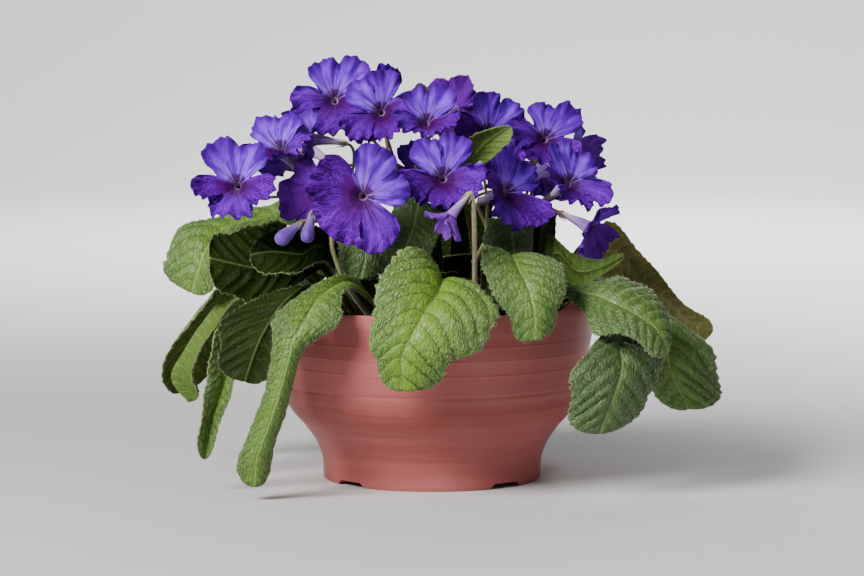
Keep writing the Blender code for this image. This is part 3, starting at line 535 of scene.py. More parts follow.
# Each leaf as in the imported part, with its tone from young yellow-green (0) to old blue-green (1); past the middle
# the tone also paints shade, making the underside nearly black. Then where its stalk leaves the soil, the point where
# it bends over the rim, its tip, the height and number of its edge's waves, and rows across the blade as right edge,
# rib and left edge, with the upper side up. One has a rusty back.
LEAVES = {
    "leaf_01": dict(tone=0.42, root=(-40, 6), tip=(-133, -12, 104), wave=(2.0, 3.0), rows=(
        ((-75, 26, 150), (-73, 12, 145), (-74, 0, 138)), ((-96, 20, 148), (-95, 6, 144), (-97, -10, 138)),
        ((-118, 14, 145), (-115, 0, 139), (-107, -20, 135)), ((-141, 6, 141), (-125, -10, 128), (-116, -26, 124)),
        ((-148, 2, 121), (-129, -14, 117), (-120, -24, 111)),
    )),
    "leaf_02": dict(tone=0.75, root=(-46, -4), over=(-58, -12, 116), tip=(-121, -38, 125), wave=(1.2, 2.5), rows=(
        ((-77, -32, 108), (-77, -25, 120), (-80, -14, 141)), ((-96, -40, 101), (-96, -32, 119), (-99, -22, 142)),
        ((-112, -44, 106), (-110, -36, 122), (-114, -28, 138)),
    )),
    "leaf_03": dict(tone=0.78, root=(-30, -16), tip=(-98, -58, 128), wave=(1.2, 2.5), rows=(
        ((-55, -46, 123), (-58, -34, 128), (-56, -22, 137)), ((-71, -66, 119), (-71, -50, 127), (-71, -32, 141)),
        ((-85, -70, 120), (-85, -56, 129), (-85, -38, 140)),
    )),
    "leaf_04": dict(tone=0.35, root=(-57, -8), over=(-79, -9, 110), tip=(-134, -16, 44), wave=(0.4, 2.0), rows=(
        ((-106, -15, 102), (-109, -8, 104), (-107, 2, 100)), ((-121, -20, 84), (-126, -11, 86), (-123, 0, 82)),
        ((-130, -22, 70), (-136, -13, 71), (-131, -2, 68)), ((-132, -24, 57), (-143, -14, 57), (-133, -4, 55)),
    )),
    "leaf_05": dict(tone=0.35, root=(-57, -24), over=(-80, -42, 106), tip=(-123, -60, 18), wave=(1.0, 4.0), rows=(
        ((-114, -64, 90), (-108, -56, 92), (-102, -62, 89)), ((-119, -66, 76), (-111, -56, 75), (-103, -62, 74)),
        ((-121, -66, 59), (-113, -57, 59), (-107, -62, 58)), ((-125, -66, 40), (-120, -58, 40), (-114, -62, 39)),
    )),
    "leaf_06": dict(tone=0.78, root=(-41, -34), over=(-62, -54, 111), tip=(-99, -84, 63), wave=(1.4, 2.5), rows=(
        ((-70, -84, 97), (-76, -76, 106), (-91, -68, 106)), ((-79, -88, 84), (-87, -82, 92), (-112, -76, 96)),
        ((-83, -88, 73), (-93, -84, 80), (-113, -78, 80)),
    )),
    "leaf_07": dict(tone=0.38, root=(-20, -43), tip=(-94, -93, 8), wave=(0.8, 3.5), rows=(
        ((-44, -68, 118), (-42, -66, 114), (-40, -70, 110)), ((-71, -84, 109), (-59, -84, 108), (-47, -86, 109)),
        ((-84, -94, 97), (-67, -96, 96), (-49, -95, 95)), ((-84, -96, 85), (-73, -101, 86), (-65, -97, 83)),
        ((-85, -94, 71), (-76, -102, 73), (-72, -96, 70)), ((-93, -92, 47), (-83, -101, 49), (-78, -94, 46)),
        ((-102, -90, 22), (-92, -98, 25), (-85, -92, 22)),
    )),
    "leaf_08": dict(tone=0.9, root=(-8, -24), tip=(-38, -55, 115), wave=(1.0, 2.5), rows=(
        ((-44, -36, 144), (-32, -38, 143), (-20, -36, 143)), ((-50, -42, 136), (-34, -48, 136), (-17, -42, 135)),
        ((-51, -48, 125), (-36, -54, 126), (-18, -47, 125)),
    )),
    "leaf_09": dict(tone=0.85, root=(6, -14), tip=(-19, -70, 125), wave=(1.0, 2.5), rows=(
        ((-15, -48, 156), (-5, -50, 155), (4, -48, 149)), ((-23, -58, 144), (-10, -63, 143), (3, -58, 138)),
        ((-24, -64, 135), (-14, -69, 133), (-2, -64, 129)),
    )),
    "leaf_10": dict(tone=0.16, root=(10, -36), tip=(-15, -108, 61), wave=(1.6, 3.0), rows=(
        ((-6, -78, 131), (6, -72, 116), (17, -70, 114)), ((-23, -92, 127), (3, -92, 110), (27, -90, 111)),
        ((-30, -102, 107), (-4, -104, 101), (35, -102, 100)), ((-32, -106, 86), (-10, -110, 91), (25, -106, 83)),
        ((-29, -107, 74), (-16, -111, 78), (8, -107, 74)),
    )),
    "leaf_11": dict(tone=0.55, root=(28, -34), tip=(54, -94, 86), wave=(1.2, 2.5), rows=(
        ((27, -64, 132), (40, -62, 127), (55, -58, 126)), ((27, -80, 122), (47, -82, 121), (69, -78, 123)),
        ((34, -88, 107), (52, -92, 110), (70, -87, 110)), ((42, -92, 94), (54, -95, 99), (66, -90, 98)),
    )),
    "leaf_12": dict(tone=0.85, root=(25, -14), tip=(45, -42, 115), wave=(1.0, 2.5), rows=(
        ((32, -20, 142), (43, -18, 143), (53, -14, 140)), ((28, -28, 136), (44, -29, 136), (55, -22, 133)),
        ((32, -36, 125), (45, -38, 127), (55, -30, 124)),
    )),
    "leaf_13": dict(tone=0.6, root=(48, -18), over=(64, -28, 110), tip=(104, -48, 127), wave=(0.6, 2.5), rows=(
        ((63, -30, 137), (68, -36, 128), (70, -38, 116)), ((77, -40, 128), (79, -43, 119), (78, -42, 109)),
        ((91, -46, 125), (90, -48, 120), (87, -50, 114)),
    )),
    "leaf_14": dict(tone=0.75, root=(46, -36), over=(66, -53, 108), tip=(125, -88, 79), wave=(1.2, 3.0), rows=(
        ((79, -74, 101), (86, -69, 108), (90, -60, 114)), ((87, -86, 88), (96, -77, 105), (101, -63, 118)),
        ((101, -94, 89), (108, -82, 99), (115, -66, 111)), ((112, -96, 83), (119, -86, 91), (125, -72, 99)),
    )),
    "leaf_15": dict(tone=0.92, root=(58, -15), over=(84, -30, 106), tip=(89, -90, 36), wave=(1.4, 2.5), rows=(
        ((93, -66, 94), (102, -58, 96), (113, -48, 95)), ((84, -86, 81), (100, -78, 83), (120, -62, 84)),
        ((74, -92, 69), (101, -88, 72), (124, -72, 75)), ((73, -92, 54), (97, -92, 58), (115, -80, 55)),
    )),
    "leaf_16": dict(tone=0.62, root=(60, 4), over=(88, -4, 112), tip=(139, -50, 44), wave=(1.4, 2.5), rows=(
        ((114, -42, 92), (122, -36, 96), (134, -28, 91)), ((118, -54, 75), (127, -48, 80), (151, -36, 77)),
        ((117, -58, 60), (129, -52, 66), (156, -38, 60)),
    )),
    "leaf_17": dict(tone=0.62, root=(50, 22), tip=(156, -4, 81), wave=(1.4, 4.0), rust=1.0, rows=(
        ((97, 22, 140), (98, 12, 121), (99, 0, 105)), ((120, 18, 120), (117, 8, 108), (112, -6, 93)),
        ((135, 14, 104), (132, 4, 96), (125, -10, 82)), ((149, 8, 90), (144, -2, 86), (138, -14, 76)),
    )),
    "leaf_18": dict(tone=0.2, root=(26, 5), over=(26, 4, 128), tip=(42, -32, 197), wave=(0.5, 2.0), rows=(
        ((15, -18, 166), (19, -15, 166), (22, -18, 166)), ((17, -31, 187), (27, -26, 185), (35, -31, 181)),
    )),
    "leaf_19": dict(tone=0.6, root=(26, 40), tip=(74, 102, 48), wave=(2.0, 2.5), rows=(
        ((66, 66, 118), (50, 76, 122), (34, 86, 118)), ((82, 82, 100), (64, 95, 106), (45, 106, 102)),
        ((90, 90, 74), (72, 103, 76), (52, 112, 76)),
    )),
    "leaf_20": dict(tone=0.5, root=(-6, 44), tip=(-9, 113, 46), wave=(2.0, 2.5), rows=(
        ((12, 84, 122), (-9, 84, 126), (-30, 82, 121)), ((16, 104, 104), (-10, 106, 108), (-36, 102, 103)),
        ((16, 111, 74), (-10, 113, 76), (-35, 110, 74)),
    )),
    "leaf_21": dict(tone=0.66, root=(-32, 32), tip=(-96, 97, 42), wave=(2.0, 2.5), rows=(
        ((-50, 80, 116), (-64, 68, 120), (-78, 56, 117)), ((-66, 99, 98), (-82, 85, 102), (-98, 72, 99)),
        ((-76, 107, 70), (-92, 94, 72), (-107, 80, 72)),
    )),
    "leaf_22": dict(tone=0.55, root=(-52, 14), tip=(-146, 58, 40), wave=(2.0, 2.5), rows=(
        ((-84, 56, 112), (-94, 40, 116), (-101, 24, 112)), ((-108, 66, 92), (-122, 50, 95), (-132, 33, 92)),
        ((-124, 74, 66), (-140, 56, 67), (-151, 39, 62)),
    )),
}


def unit(vectors):
    """The same directions, each one long."""
    return vectors / np.maximum(np.linalg.norm(vectors, axis=-1, keepdims=True), 1e-9)


def ease(low, high, value):
    """A smooth step from 0 to 1 as the value goes from low to high."""
    share = np.clip((value - low) / (high - low), 0.0, 1.0)
    return share * share * (3 - 2 * share)


def sway(seed, k):
    """A number from -1 to 1 that varies from piece to piece."""
    return math.sin(seed * 2.7 + k * 1.9)


def leaf_frame(leaf):
    """The rib's knots, and the knots of the vectors from the rib to the right and left edges."""
    x, y = leaf["root"]
    out = Vector((leaf["tip"][0] - x, leaf["tip"][1] - y, 0.0)).normalized()
    side = np.array((out.y, -out.x, 0.0)) * LEAF_STALK_HALF
    ribs = [(x, y, ROOT_LOW), (x, y, ROOT_HIGH)]
    rights, lefts = [side, side], [-side, -side]
    if "over" in leaf:
        ribs.append(leaf["over"])
        rights.append(side * LEAF_OVER_SHARE)
        lefts.append(-side * LEAF_OVER_SHARE)
    for right, rib, left in leaf["rows"]:
        ribs.append(rib)
        rights.append(np.subtract(right, rib))
        lefts.append(np.subtract(left, rib))
    ribs.append(leaf["tip"])
    rights.append(rights[-1])
    lefts.append(lefts[-1])
    return np.array(ribs, float), np.array(rights, float), np.array(lefts, float)


def even_steps(knots, count):
    """Where to stand on the curve past its second knot, at steps of one length, and the whole length."""
    fine = np.linspace(1.0, len(knots) - 1, 40 * (len(knots) - 2) + 1)
    places = between(knots, fine)
    lengths = np.concatenate([[0.0], np.cumsum(np.linalg.norm(np.diff(places, axis=0), axis=1))])
    return np.interp(np.linspace(0.0, lengths[-1], count), lengths, fine), lengths[-1]


def grid_faces(rows, columns, first=0, flip=False):
    """Quads over a grid of points, row after row."""
    faces = []
    for k in range(rows - 1):
        for n in range(columns - 1):
            a = first + k * columns + n
            quad = (a, a + 1, a + columns + 1, a + columns)
            faces.append(quad[::-1] if flip else quad)
    return faces


def vector_mark(target, name, values):
    """Three numbers at each point, for a material or a node tree to read."""
    mark = target.data.attributes.new(name, "FLOAT_VECTOR", "POINT")
    mark.data.foreach_set("vector", np.asarray(values, np.float32).ravel())


def leaf_blade(name, leaf, seed, finish, stations, lanes_across):
    """The blade as a closed skin, with marks for the veins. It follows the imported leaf's formula."""
    ribs, rights, lefts = leaf_frame(leaf)
    steps, length = even_steps(ribs, stations - 1)
    t = np.concatenate([[0.0], steps])
    share = np.concatenate([[0.0], np.linspace(0.0, 1.0, stations - 1)])
    u = (1.0 + (CAD_STATIONS - 2) * share) / (CAD_STATIONS - 1)
    u[0] = 0.0
    rib, right, left = between(ribs, t), between(rights, t), between(lefts, t)
    last_knot = len(ribs) - 1
    way = unit(between(ribs, np.minimum(t + 0.02, last_knot)) - between(ribs, np.maximum(t - 0.02, 0.0)))
    last = np.maximum(0.0, t - (last_knot - 1))
    narrow = np.maximum(LEAF_TIP_SHARE, np.sqrt(np.maximum(0.0, 1.0 - last * last)))
    up_right, up_left = unit(np.cross(right, way)), unit(np.cross(way, left))
    up = unit(up_right + up_left)

    s = np.linspace(-1.0, 1.0, lanes_across + 1)
    across = np.abs(s)
    is_right = (s > 0)[None, :, None]
    edge = np.where(is_right, right[:, None], left[:, None])
    face = np.where(is_right, up_right[:, None], up_left[:, None])
    normal = unit(up[:, None] + (face - up[:, None]) * np.minimum(1.0, across * 2)[None, :, None])
    width = np.linalg.norm(edge, axis=2)
    height, count = leaf["wave"]
    phase = 3.0 * sway(seed, 0)
    ripple = np.sin(2 * np.pi * count * u[:, None] + phase + 1.9 * (s > 0)[None, :])
    lift = LEAF_PUFF * width * narrow[:, None] * 4 * across * (1 - across)
    lift = lift + height * across**2 * (ease(*WAVES_BEGIN, u) * narrow)[:, None] * ripple

    blade = ease(*BLADE_BEGINS, u)[:, None]
    reach = width * narrow[:, None] * across
    along = share[:, None] * length
    gap = VEIN_SPACING * np.clip(width.max() / WIDE_LEAF, 0.7, 1.3)
    turn = (along - VEIN_SLOPE * reach - VEIN_BEND * reach**2) / gap
    turn = turn + VEIN_STAGGER * ease(0.0, 6.0, reach) * (s > 0)[None, :] + VEIN_WANDER * np.sin(3.0 * turn + seed)
    quilt = np.abs(np.sin(np.pi * turn)) ** 0.75 - 0.55
    fullness = ease(0.5, 6.0, reach) * (1 - 0.55 * ease(0.75, 1.0, across))
    relief = blade * np.clip(width * narrow[:, None] / WIDE_RELIEF, 0.25, 1.0)
    lift = lift + VEIN_RISE * quilt * fullness * relief
    lift = lift - RIB_SINK * np.exp(-((reach / RIB_WIDTH) ** 2)) * relief

    teeth = np.cos(2 * np.pi * (2.0 * along / gap + 0.2 * seed)) + 0.5 * np.cos(17.0 * along / gap)
    scallop = -LEAF_SCALLOP * np.cos((CAD_STATIONS - 1) * np.pi * u)[:, None] + LEAF_TOOTH * teeth
    grown = across * narrow[:, None] * (1 + scallop * ease(*SCALLOPS_BEGIN, u)[:, None] * across**5)
    middle = rib[:, None] + edge * grown[..., None] + normal * lift[..., None]

    thick = LEAF_EDGE_THICK + (LEAF_RIB_THICK - LEAF_EDGE_THICK) * (1 - across) ** 4 * (1 - 0.6 * u[:, None])
    thick = np.where(u[:, None] < 0.2, np.maximum(thick, LEAF_STALK_THICK - 1.4 * across**2), thick)
    top = middle + normal * 0.5 * LEAF_EDGE_THICK
    bottom = middle - normal * (thick - 0.5 * LEAF_EDGE_THICK)[..., None]
    lanes = lanes_across + 1
    points = np.concatenate([top.reshape(-1, 3), bottom.reshape(-1, 3)])
    half = stations * lanes
    faces = grid_faces(stations, lanes) + grid_faces(stations, lanes, half, True)
    for k in range(stations - 1):
        a, b = k * lanes, (k + 1) * lanes
        c, d = a + lanes - 1, b + lanes - 1
        faces += [(a, b, b + half, a + half), (d, c, c + half, d + half)]
    for n in range(lanes_across):
        a, b = n, (stations - 1) * lanes + n
        faces += [(a + 1, a, a + half, a + 1 + half), (b, b + 1, b + 1 + half, b + half)]
    made = mesh_piece(name, points, faces, [finish])

    def per_point(*parts):
        return np.stack([np.broadcast_to(part, reach.shape) for part in parts], axis=-1).reshape(-1, 3)

    signed = np.where(s > 0, reach, -reach)
    rough = (0.45 + 0.75 * across**2) * (1 - 0.5 * ease(0.93, 1.0, across))
    for mark, values in (
        ("place", per_point(PUCKER_STRETCH[0] * turn * gap / 10.0, PUCKER_STRETCH[1] * signed / 10.0, seed * 3.1)),
        ("vein", per_point(turn, across, u[:, None])),
        ("look", per_point(leaf["tone"], leaf.get("rust", 0.0), reach / 10.0)),
        ("push", (normal * (relief * rough)[..., None]).reshape(-1, 3)),
    ):
        vector_mark(made, mark, np.concatenate([values, values]))
    rim_hairs = ease(0.93, 0.99, across) * blade
    bearing_mark(made, np.concatenate([np.maximum(rim_hairs, HAIRS_INSIDE * blade).ravel(), rim_hairs.ravel()]))
    return made


def cell_edges(tree, where, scale):
    """The distance to the nearest edge of a pattern of irregular cells."""
    made = add_node(tree, "ShaderNodeTexVoronoi", {"Vector": where, "Scale": scale}, feature="DISTANCE_TO_EDGE")
    return made.outputs["Distance"]


def scaled(tree, vector, factor):
    """A direction or a colour times a number."""
    return add_node(tree, "ShaderNodeVectorMath", {0: vector, "Scale": factor}, operation="SCALE").outputs[0]


def pucker_tree():
    """Lifts the small cells between the finest veins, which a cell pattern on the mark called place draws."""
    tree = bpy.data.node_groups.new("leaf_pucker", "GeometryNodeTree")
    known = add_sockets(tree, {
        "Cells per Centimetre": "NodeSocketFloat", "Height": "NodeSocketFloat", "Finish": "NodeSocketMaterial",
    })
    start = add_node(tree, "NodeGroupInput").outputs
    place, push = (
        add_node(tree, "GeometryNodeInputNamedAttribute", {"Name": mark}, data_type="FLOAT_VECTOR").outputs[0]
        for mark in ("place", "push")
    )
    dome = span(tree, cell_edges(tree, place, start["Cells per Centimetre"]), 0.0, 0.32, -0.5, 0.5)
    rise = times(tree, dome, start["Height"])
    lifted = add_node(tree, "GeometryNodeSetPosition", {
        "Geometry": start["Geometry"], "Offset": scaled(tree, push, rise),
    })
    solid = add_node(tree, "GeometryNodeRealizeInstances", {"Geometry": lifted.outputs[0]})
    coated = add_node(tree, "GeometryNodeSetMaterial", {"Geometry": solid.outputs[0], "Material": start["Finish"]})
    add_node(tree, "NodeGroupOutput", {0: coated.outputs[0]})
    return tree, known


def mark_part(tree, name):
    """The three numbers of a mark, for a material."""
    made = add_node(tree, "ShaderNodeAttribute", attribute_name=name)
    parts = add_node(tree, "ShaderNodeSeparateXYZ", {0: made.outputs["Vector"]})
    return made.outputs["Vector"], parts.outputs[0], parts.outputs[1], parts.outputs[2]


def leaf_marks(tree):
    """The place among the puckers, how near a side vein and the rib are, how far across, along and from the rib the
    point lies, and the leaf's tone and rust."""
    place, _, _, _ = mark_part(tree, "place")
    _, turn, across, along = mark_part(tree, "vein")
    _, tone, rust, from_rib = mark_part(tree, "look")
    nearest = add_node(tree, "ShaderNodeMath", {0: turn, 1: 0.5}, operation="PINGPONG").outputs[0]
    lateral = times(tree, span(tree, nearest, 0.0, 0.12, 1.0, 0.0), span(tree, along, *BLADE_BEGINS))
    rib = span(tree, from_rib, 0.03, 0.09, 1.0, 0.0)
    return place, lateral, rib, across, along, from_rib, tone, rust


def leaf_finish():
    """Glossy green skin, darker with age, with a light rib. Painted shade darkens the creases between the puckers and
    the sunken side veins; towards the edge the puckers are hoary, with a painted highlight.
    """
    finish, tree, shader = new_finish(
        "leaf", Roughness=0.4, Specular_IOR_Level=0.42, Sheen_Weight=0.03, Sheen_Roughness=0.45,
        Sheen_Tint=(0.80, 0.95, 0.75, 1.0),
    )
    place, lateral, rib, across, along, from_rib, tone, _ = leaf_marks(tree)
    cells = cell_edges(tree, place, CELLS_PER_CM)
    fine = cell_edges(tree, place, FINE_CELLS * CELLS_PER_CM)
    cloud = noise_at(tree, place, 0.55, 3.0)
    speck = noise_at(tree, place, 9.0, 4.0, 0.6)
    # Pale domes towards the edge: partly the leaf's fine hairs, partly a painted highlight on the puckers.
    hoary_and_highlight = times(tree, span(tree, fine, 0.02, 0.25), span(tree, across, 0.25, 1.0, 0.05, 0.50))
    hoary_and_highlight = times(tree, hoary_and_highlight, span(tree, from_rib, 0.3, 1.5, 0.4, 1.0))
    # Painted shade: the creases between the puckers and the finer wrinkles go darker green.
    crease_shade = times(tree, span(tree, cells, 0.0, 0.16, 1.0, 0.0), span(tree, across, 0.05, 0.60, 0.15, 0.62))
    wrinkle_shade = times(tree, span(tree, fine, 0.0, 0.10, 1.0, 0.0), span(tree, across, 0.3, 0.9, 0.12, 0.62))
    skin = coats(
        tree, (0.19, 0.345, 0.016),
        (span(tree, tone, 0.0, 0.5), (0.105, 0.205, 0.024)),
        (span(tree, tone, 0.5, 1.0), (0.040, 0.078, 0.022)),
        (span(tree, cloud, 0.35, 0.75, 0.0, 0.30), (0.17, 0.27, 0.05)),
        # The fine hairs and a painted highlight on the puckers.
        (hoary_and_highlight, (0.34, 0.46, 0.24)),
        # Painted shade in the creases, the finer wrinkles and the sunken side veins.
        (crease_shade, (0.030, 0.075, 0.008)),
        (wrinkle_shade, (0.045, 0.10, 0.020)),
        (times(tree, lateral, 0.72), (0.030, 0.080, 0.008)),
        (span(tree, along, 0.10, 0.42, 0.75, 0.0), (0.20, 0.33, 0.02)),
        (times(tree, rib, 0.5), (0.27, 0.39, 0.12)),
        (span(tree, across, 0.955, 1.0, 0.0, 0.40), (0.34, 0.40, 0.18)),
        (span(tree, speck, 0.50, 0.80, 0.0, 0.22), (0.32, 0.40, 0.22)),
    )
    tree.links.new(skin, shader.inputs["Base Color"])
    tree.links.new(span(tree, speck, 0.3, 0.7, 0.33, 0.50), shader.inputs["Roughness"])
    grooves = bumped(tree, span(tree, cells, 0.0, 0.20), 0.45, 0.0006)
    crinkle = bumped(tree, span(tree, fine, 0.0, 0.30), span(tree, across, 0.0, 0.8, 0.15, 0.80), 0.0006, grooves)
    fuzz = bumped(tree, noise_at(tree, place, 30.0), 0.20, 0.0002, crinkle)
    tree.links.new(fuzz, shader.inputs["Normal"])
    return finish


def leaf_back_finish():
    """The underside: deeper green with age, with lighter veins that stand out. On the old-toned leaves it is painted
    nearly black: painted shade.
    """
    finish, tree, shader = new_finish("leaf_back", Roughness=0.55, Specular_IOR_Level=0.10)
    place, lateral, rib, across, _, _, tone, rust = leaf_marks(tree)
    cells = cell_edges(tree, place, CELLS_PER_CM)
    cloud = noise_at(tree, place, 0.7, 3.0)
    underside_and_shade = coats(
        tree, (0.13, 0.21, 0.045),
        (span(tree, tone, 0.1, 0.45), (0.070, 0.120, 0.022)),
        # Painted shade: the undersides of the old-toned leaves go nearly black.
        (span(tree, tone, 0.50, 0.75), (0.010, 0.020, 0.002)),
        (times(tree, rust, 0.85), (0.135, 0.118, 0.040)),
        (span(tree, cloud, 0.35, 0.70, 0.0, 0.4), (0.018, 0.034, 0.004)),
    )
    lighter = scaled(tree, underside_and_shade, 1.9)
    veined = coats(
        tree, underside_and_shade,
        (span(tree, cells, 0.0, 0.14, 0.40, 0.0), lighter),
        (times(tree, lateral, 0.7), lighter),
        (times(tree, rib, 0.45), (0.13, 0.17, 0.05)),
        (span(tree, across, 0.955, 1.0, 0.0, 0.30), (0.20, 0.25, 0.08)),
    )
    tree.links.new(veined, shader.inputs["Base Color"])
    grooves = bumped(tree, span(tree, cells, 0.0, 0.16), 0.5, 0.0006)
    tree.links.new(bumped(tree, noise_at(tree, place, 30.0), 0.20, 0.0002, grooves), shader.inputs["Normal"])
    return finish


def hair_finish():
    """Pale grey-green down."""
    return new_finish("hair", Base_Color=(0.46, 0.52, 0.34, 1.0), Roughness=0.6, Specular_IOR_Level=0.3)[0]


def add_hairs(target, count, shortest, longest, seed):
    """Down over the whole object, as thick as its bearing mark says."""
    run_tree(target, bristles, bristle_inputs, {
        "Count per Square Metre": count, "Smallest": shortest, "Largest": longest, "Sink": 0.0, "Seed": seed,
        "Finish": hair_skin,
    })


def grown_leaf(name, leaf, seed, stations=LEAF_STATIONS, lanes_across=LEAF_LANES):
    """A blade with its puckers raised, its underside in its own finish, and its hairs."""
    blade = leaf_blade(name, leaf, seed, leaf_skin, stations, lanes_across)
    run_tree(blade, pucker, pucker_inputs, {
        "Cells per Centimetre": CELLS_PER_CM, "Height": PUCKER_HEIGHT, "Finish": leaf_skin,
    })
    blade.data.attributes.remove(blade.data.attributes["push"])
    blade.data.materials.append(leaf_back)
    one_side = (stations - 1) * lanes_across
    which = np.zeros(len(blade.data.polygons), int)
    which[one_side : 2 * one_side] = 1
    blade.data.polygons.foreach_set("material_index", which)
    add_hairs(blade, LEAF_HAIRS, *LEAF_HAIR_LENGTHS, seed)
    return blade


leaf_skin, leaf_back, hair_skin = leaf_finish(), leaf_back_finish(), hair_finish()
hair_shape = {"Vertices": 3, "Radius Top": 0.0, "Radius Bottom": 0.055, "Depth": 1.0}
bristles, bristle_inputs = scatter_tree("hairs", "GeometryNodeMeshCone", hair_shape, HAIR_LEAN)
pucker, pucker_inputs = pucker_tree()
for seed, (name, leaf) in enumerate(LEAVES.items()):
    blade = grown_leaf(name + "_blade", leaf, seed)
    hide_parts(name)
    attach(blade, "root")


# ---- The young leaves: short hairy leaves still growing from the crown, upright between the flower stalks. They
# are in the scene only and fill the dark middle of the plant. Their dark old tone is painted shade.
# A dark old tone on young leaves: painted shade, nearly black below.
YOUNG_SHADE_TONE = 0.8
YOUNG_WAVE = (0.7, 2.0)
YOUNG_STATIONS = 40
YOUNG_LANES = 20
FIRST_YOUNG_SEED = 30
# How far up each row of a young leaf stands, and how wide it is there.
YOUNG_ROWS = ((0.35, 0.75), (0.65, 1.0), (0.85, 0.8))
# Where each one starts, which way it leans, its length, its half width, and how far it bends over.
YOUNG_LEAVES = (
    ((-3, -10), 250.0, 40.0, 11.0, 14.0), ((9, -8), 300.0, 44.0, 12.0, 16.0), ((20, -20), 270.0, 30.0, 9.0, 12.0),
    ((0, -26), 262.0, 26.0, 8.0, 11.0), ((14, 4), 20.0, 46.0, 12.0, 15.0), ((-18, -22), 215.0, 30.0, 9.0, 13.0),
    ((-4, 10), 120.0, 42.0, 11.0, 15.0), ((34, -14), 330.0, 34.0, 10.0, 15.0), ((6, -18), 275.0, 34.0, 10.0, 10.0),
    ((8, -2), 290.0, 76.0, 15.0, 12.0), ((22, 6), 300.0, 72.0, 14.0, 10.0), ((40, -4), 320.0, 64.0, 13.0, 16.0),
    ((56, 2), 300.0, 68.0, 14.0, 12.0), ((-32, 8), 240.0, 62.0, 14.0, 12.0), ((-12, 0), 250.0, 66.0, 14.0, 12.0),
)


def young_leaf(start, lean, length, half, bend):
    """A small upright leaf whose tip bends outwards, as the same kind of table that the large leaves have."""
    way = Vector((math.cos(math.radians(lean)), math.sin(math.radians(lean)), 0.0))
    side = Vector((way.y, -way.x, 0.0))
    root = Vector((*start, SOIL_TOP))
    rows = []
    for share, wide in YOUNG_ROWS:
        rib = root + Vector((0, 0, length * share)) + way * bend * share**2
        up_edge = way * -0.25 * half * wide + Vector((0, 0, 0.15 * half * wide))
        rows.append((rib + side * half * wide + up_edge, rib, rib - side * half * wide + up_edge))
    tip = root + Vector((0, 0, length * 0.97)) + way * bend * 1.5
    return dict(tone=YOUNG_SHADE_TONE, root=start, tip=tuple(tip), wave=YOUNG_WAVE, rows=rows)


for seed, row in enumerate(YOUNG_LEAVES):
    name = "young_leaf_%02d" % (seed + 1)
    sprout = grown_leaf(name, young_leaf(*row), FIRST_YOUNG_SEED + seed, YOUNG_STATIONS, YOUNG_LANES)
    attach(sprout, "root")


# ---- The flowers: thin violet corollas, each one piece. A curved tube opens into a mouth ringed by five frilled
# lobes, two small ones above and three broad ones below. The lower lobes carry a net of lilac lines.
TUBE_LENGTH = 24.0
TUBE_DROP = 3.0
# How far down the tube, from 0 at the mouth to 1 at the calyx, and its radius there, outside and inside.
TUBE_RADII = ((1.0, 1.9), (0.8, 2.2), (0.55, 3.1), (0.35, 3.8), (0.2, 4.3), (0.06, 5.0))
INNER_RADII = ((0.025, 4.1), (0.055, 3.1), (0.09, 2.3), (0.13, 1.8), (0.18, 1.3), (0.26, 0.9), (0.40, 0.7))
MOUTH_RADIUS = 5.4
PETAL_HALF = 0.2
LOBE_COLUMNS = 24
LOBE_ROWS = 20
# The notch before each lobe: its angle round the mouth, from the right, and how far from the middle it lies.
NOTCHES = ((28.0, 9.0), (90.0, 12.5), (152.0, 9.0), (222.0, 12.0), (318.0, 12.0))
# For each lobe, the two upper ones first: how far it reaches, how square its end is, how it droops and cups.
LOBE_REACH = (25.0, 25.0, 26.5, 27.5, 26.5)
LOBE_ROUND = (2.6, 2.6, 3.2, 3.2, 3.2)
LOBE_DROOP = (3.0, -3.0, 11.0, 0.0, -11.0)
LOBE_CUP = (0.8, 0.8, 2.6, 1.2, 2.6)
LOBE_HOLLOW = 0.5
UPPER_LEAN = 8.0
LOBE_CURL = 22.0
FRILL = 1.9
RUFFLE = 1.5
CRINKLE = 0.45
LOBE_TIP = 3.0
LOBE_TWIST = 2.8
LOBE_FAN = 0.15
LOBE_OVERLAP = 1.0
LOBE_ARCH = 0.9
LOBE_TONES = 0.30
NET_AROUND = 14.0
NET_ALONG = 4.2

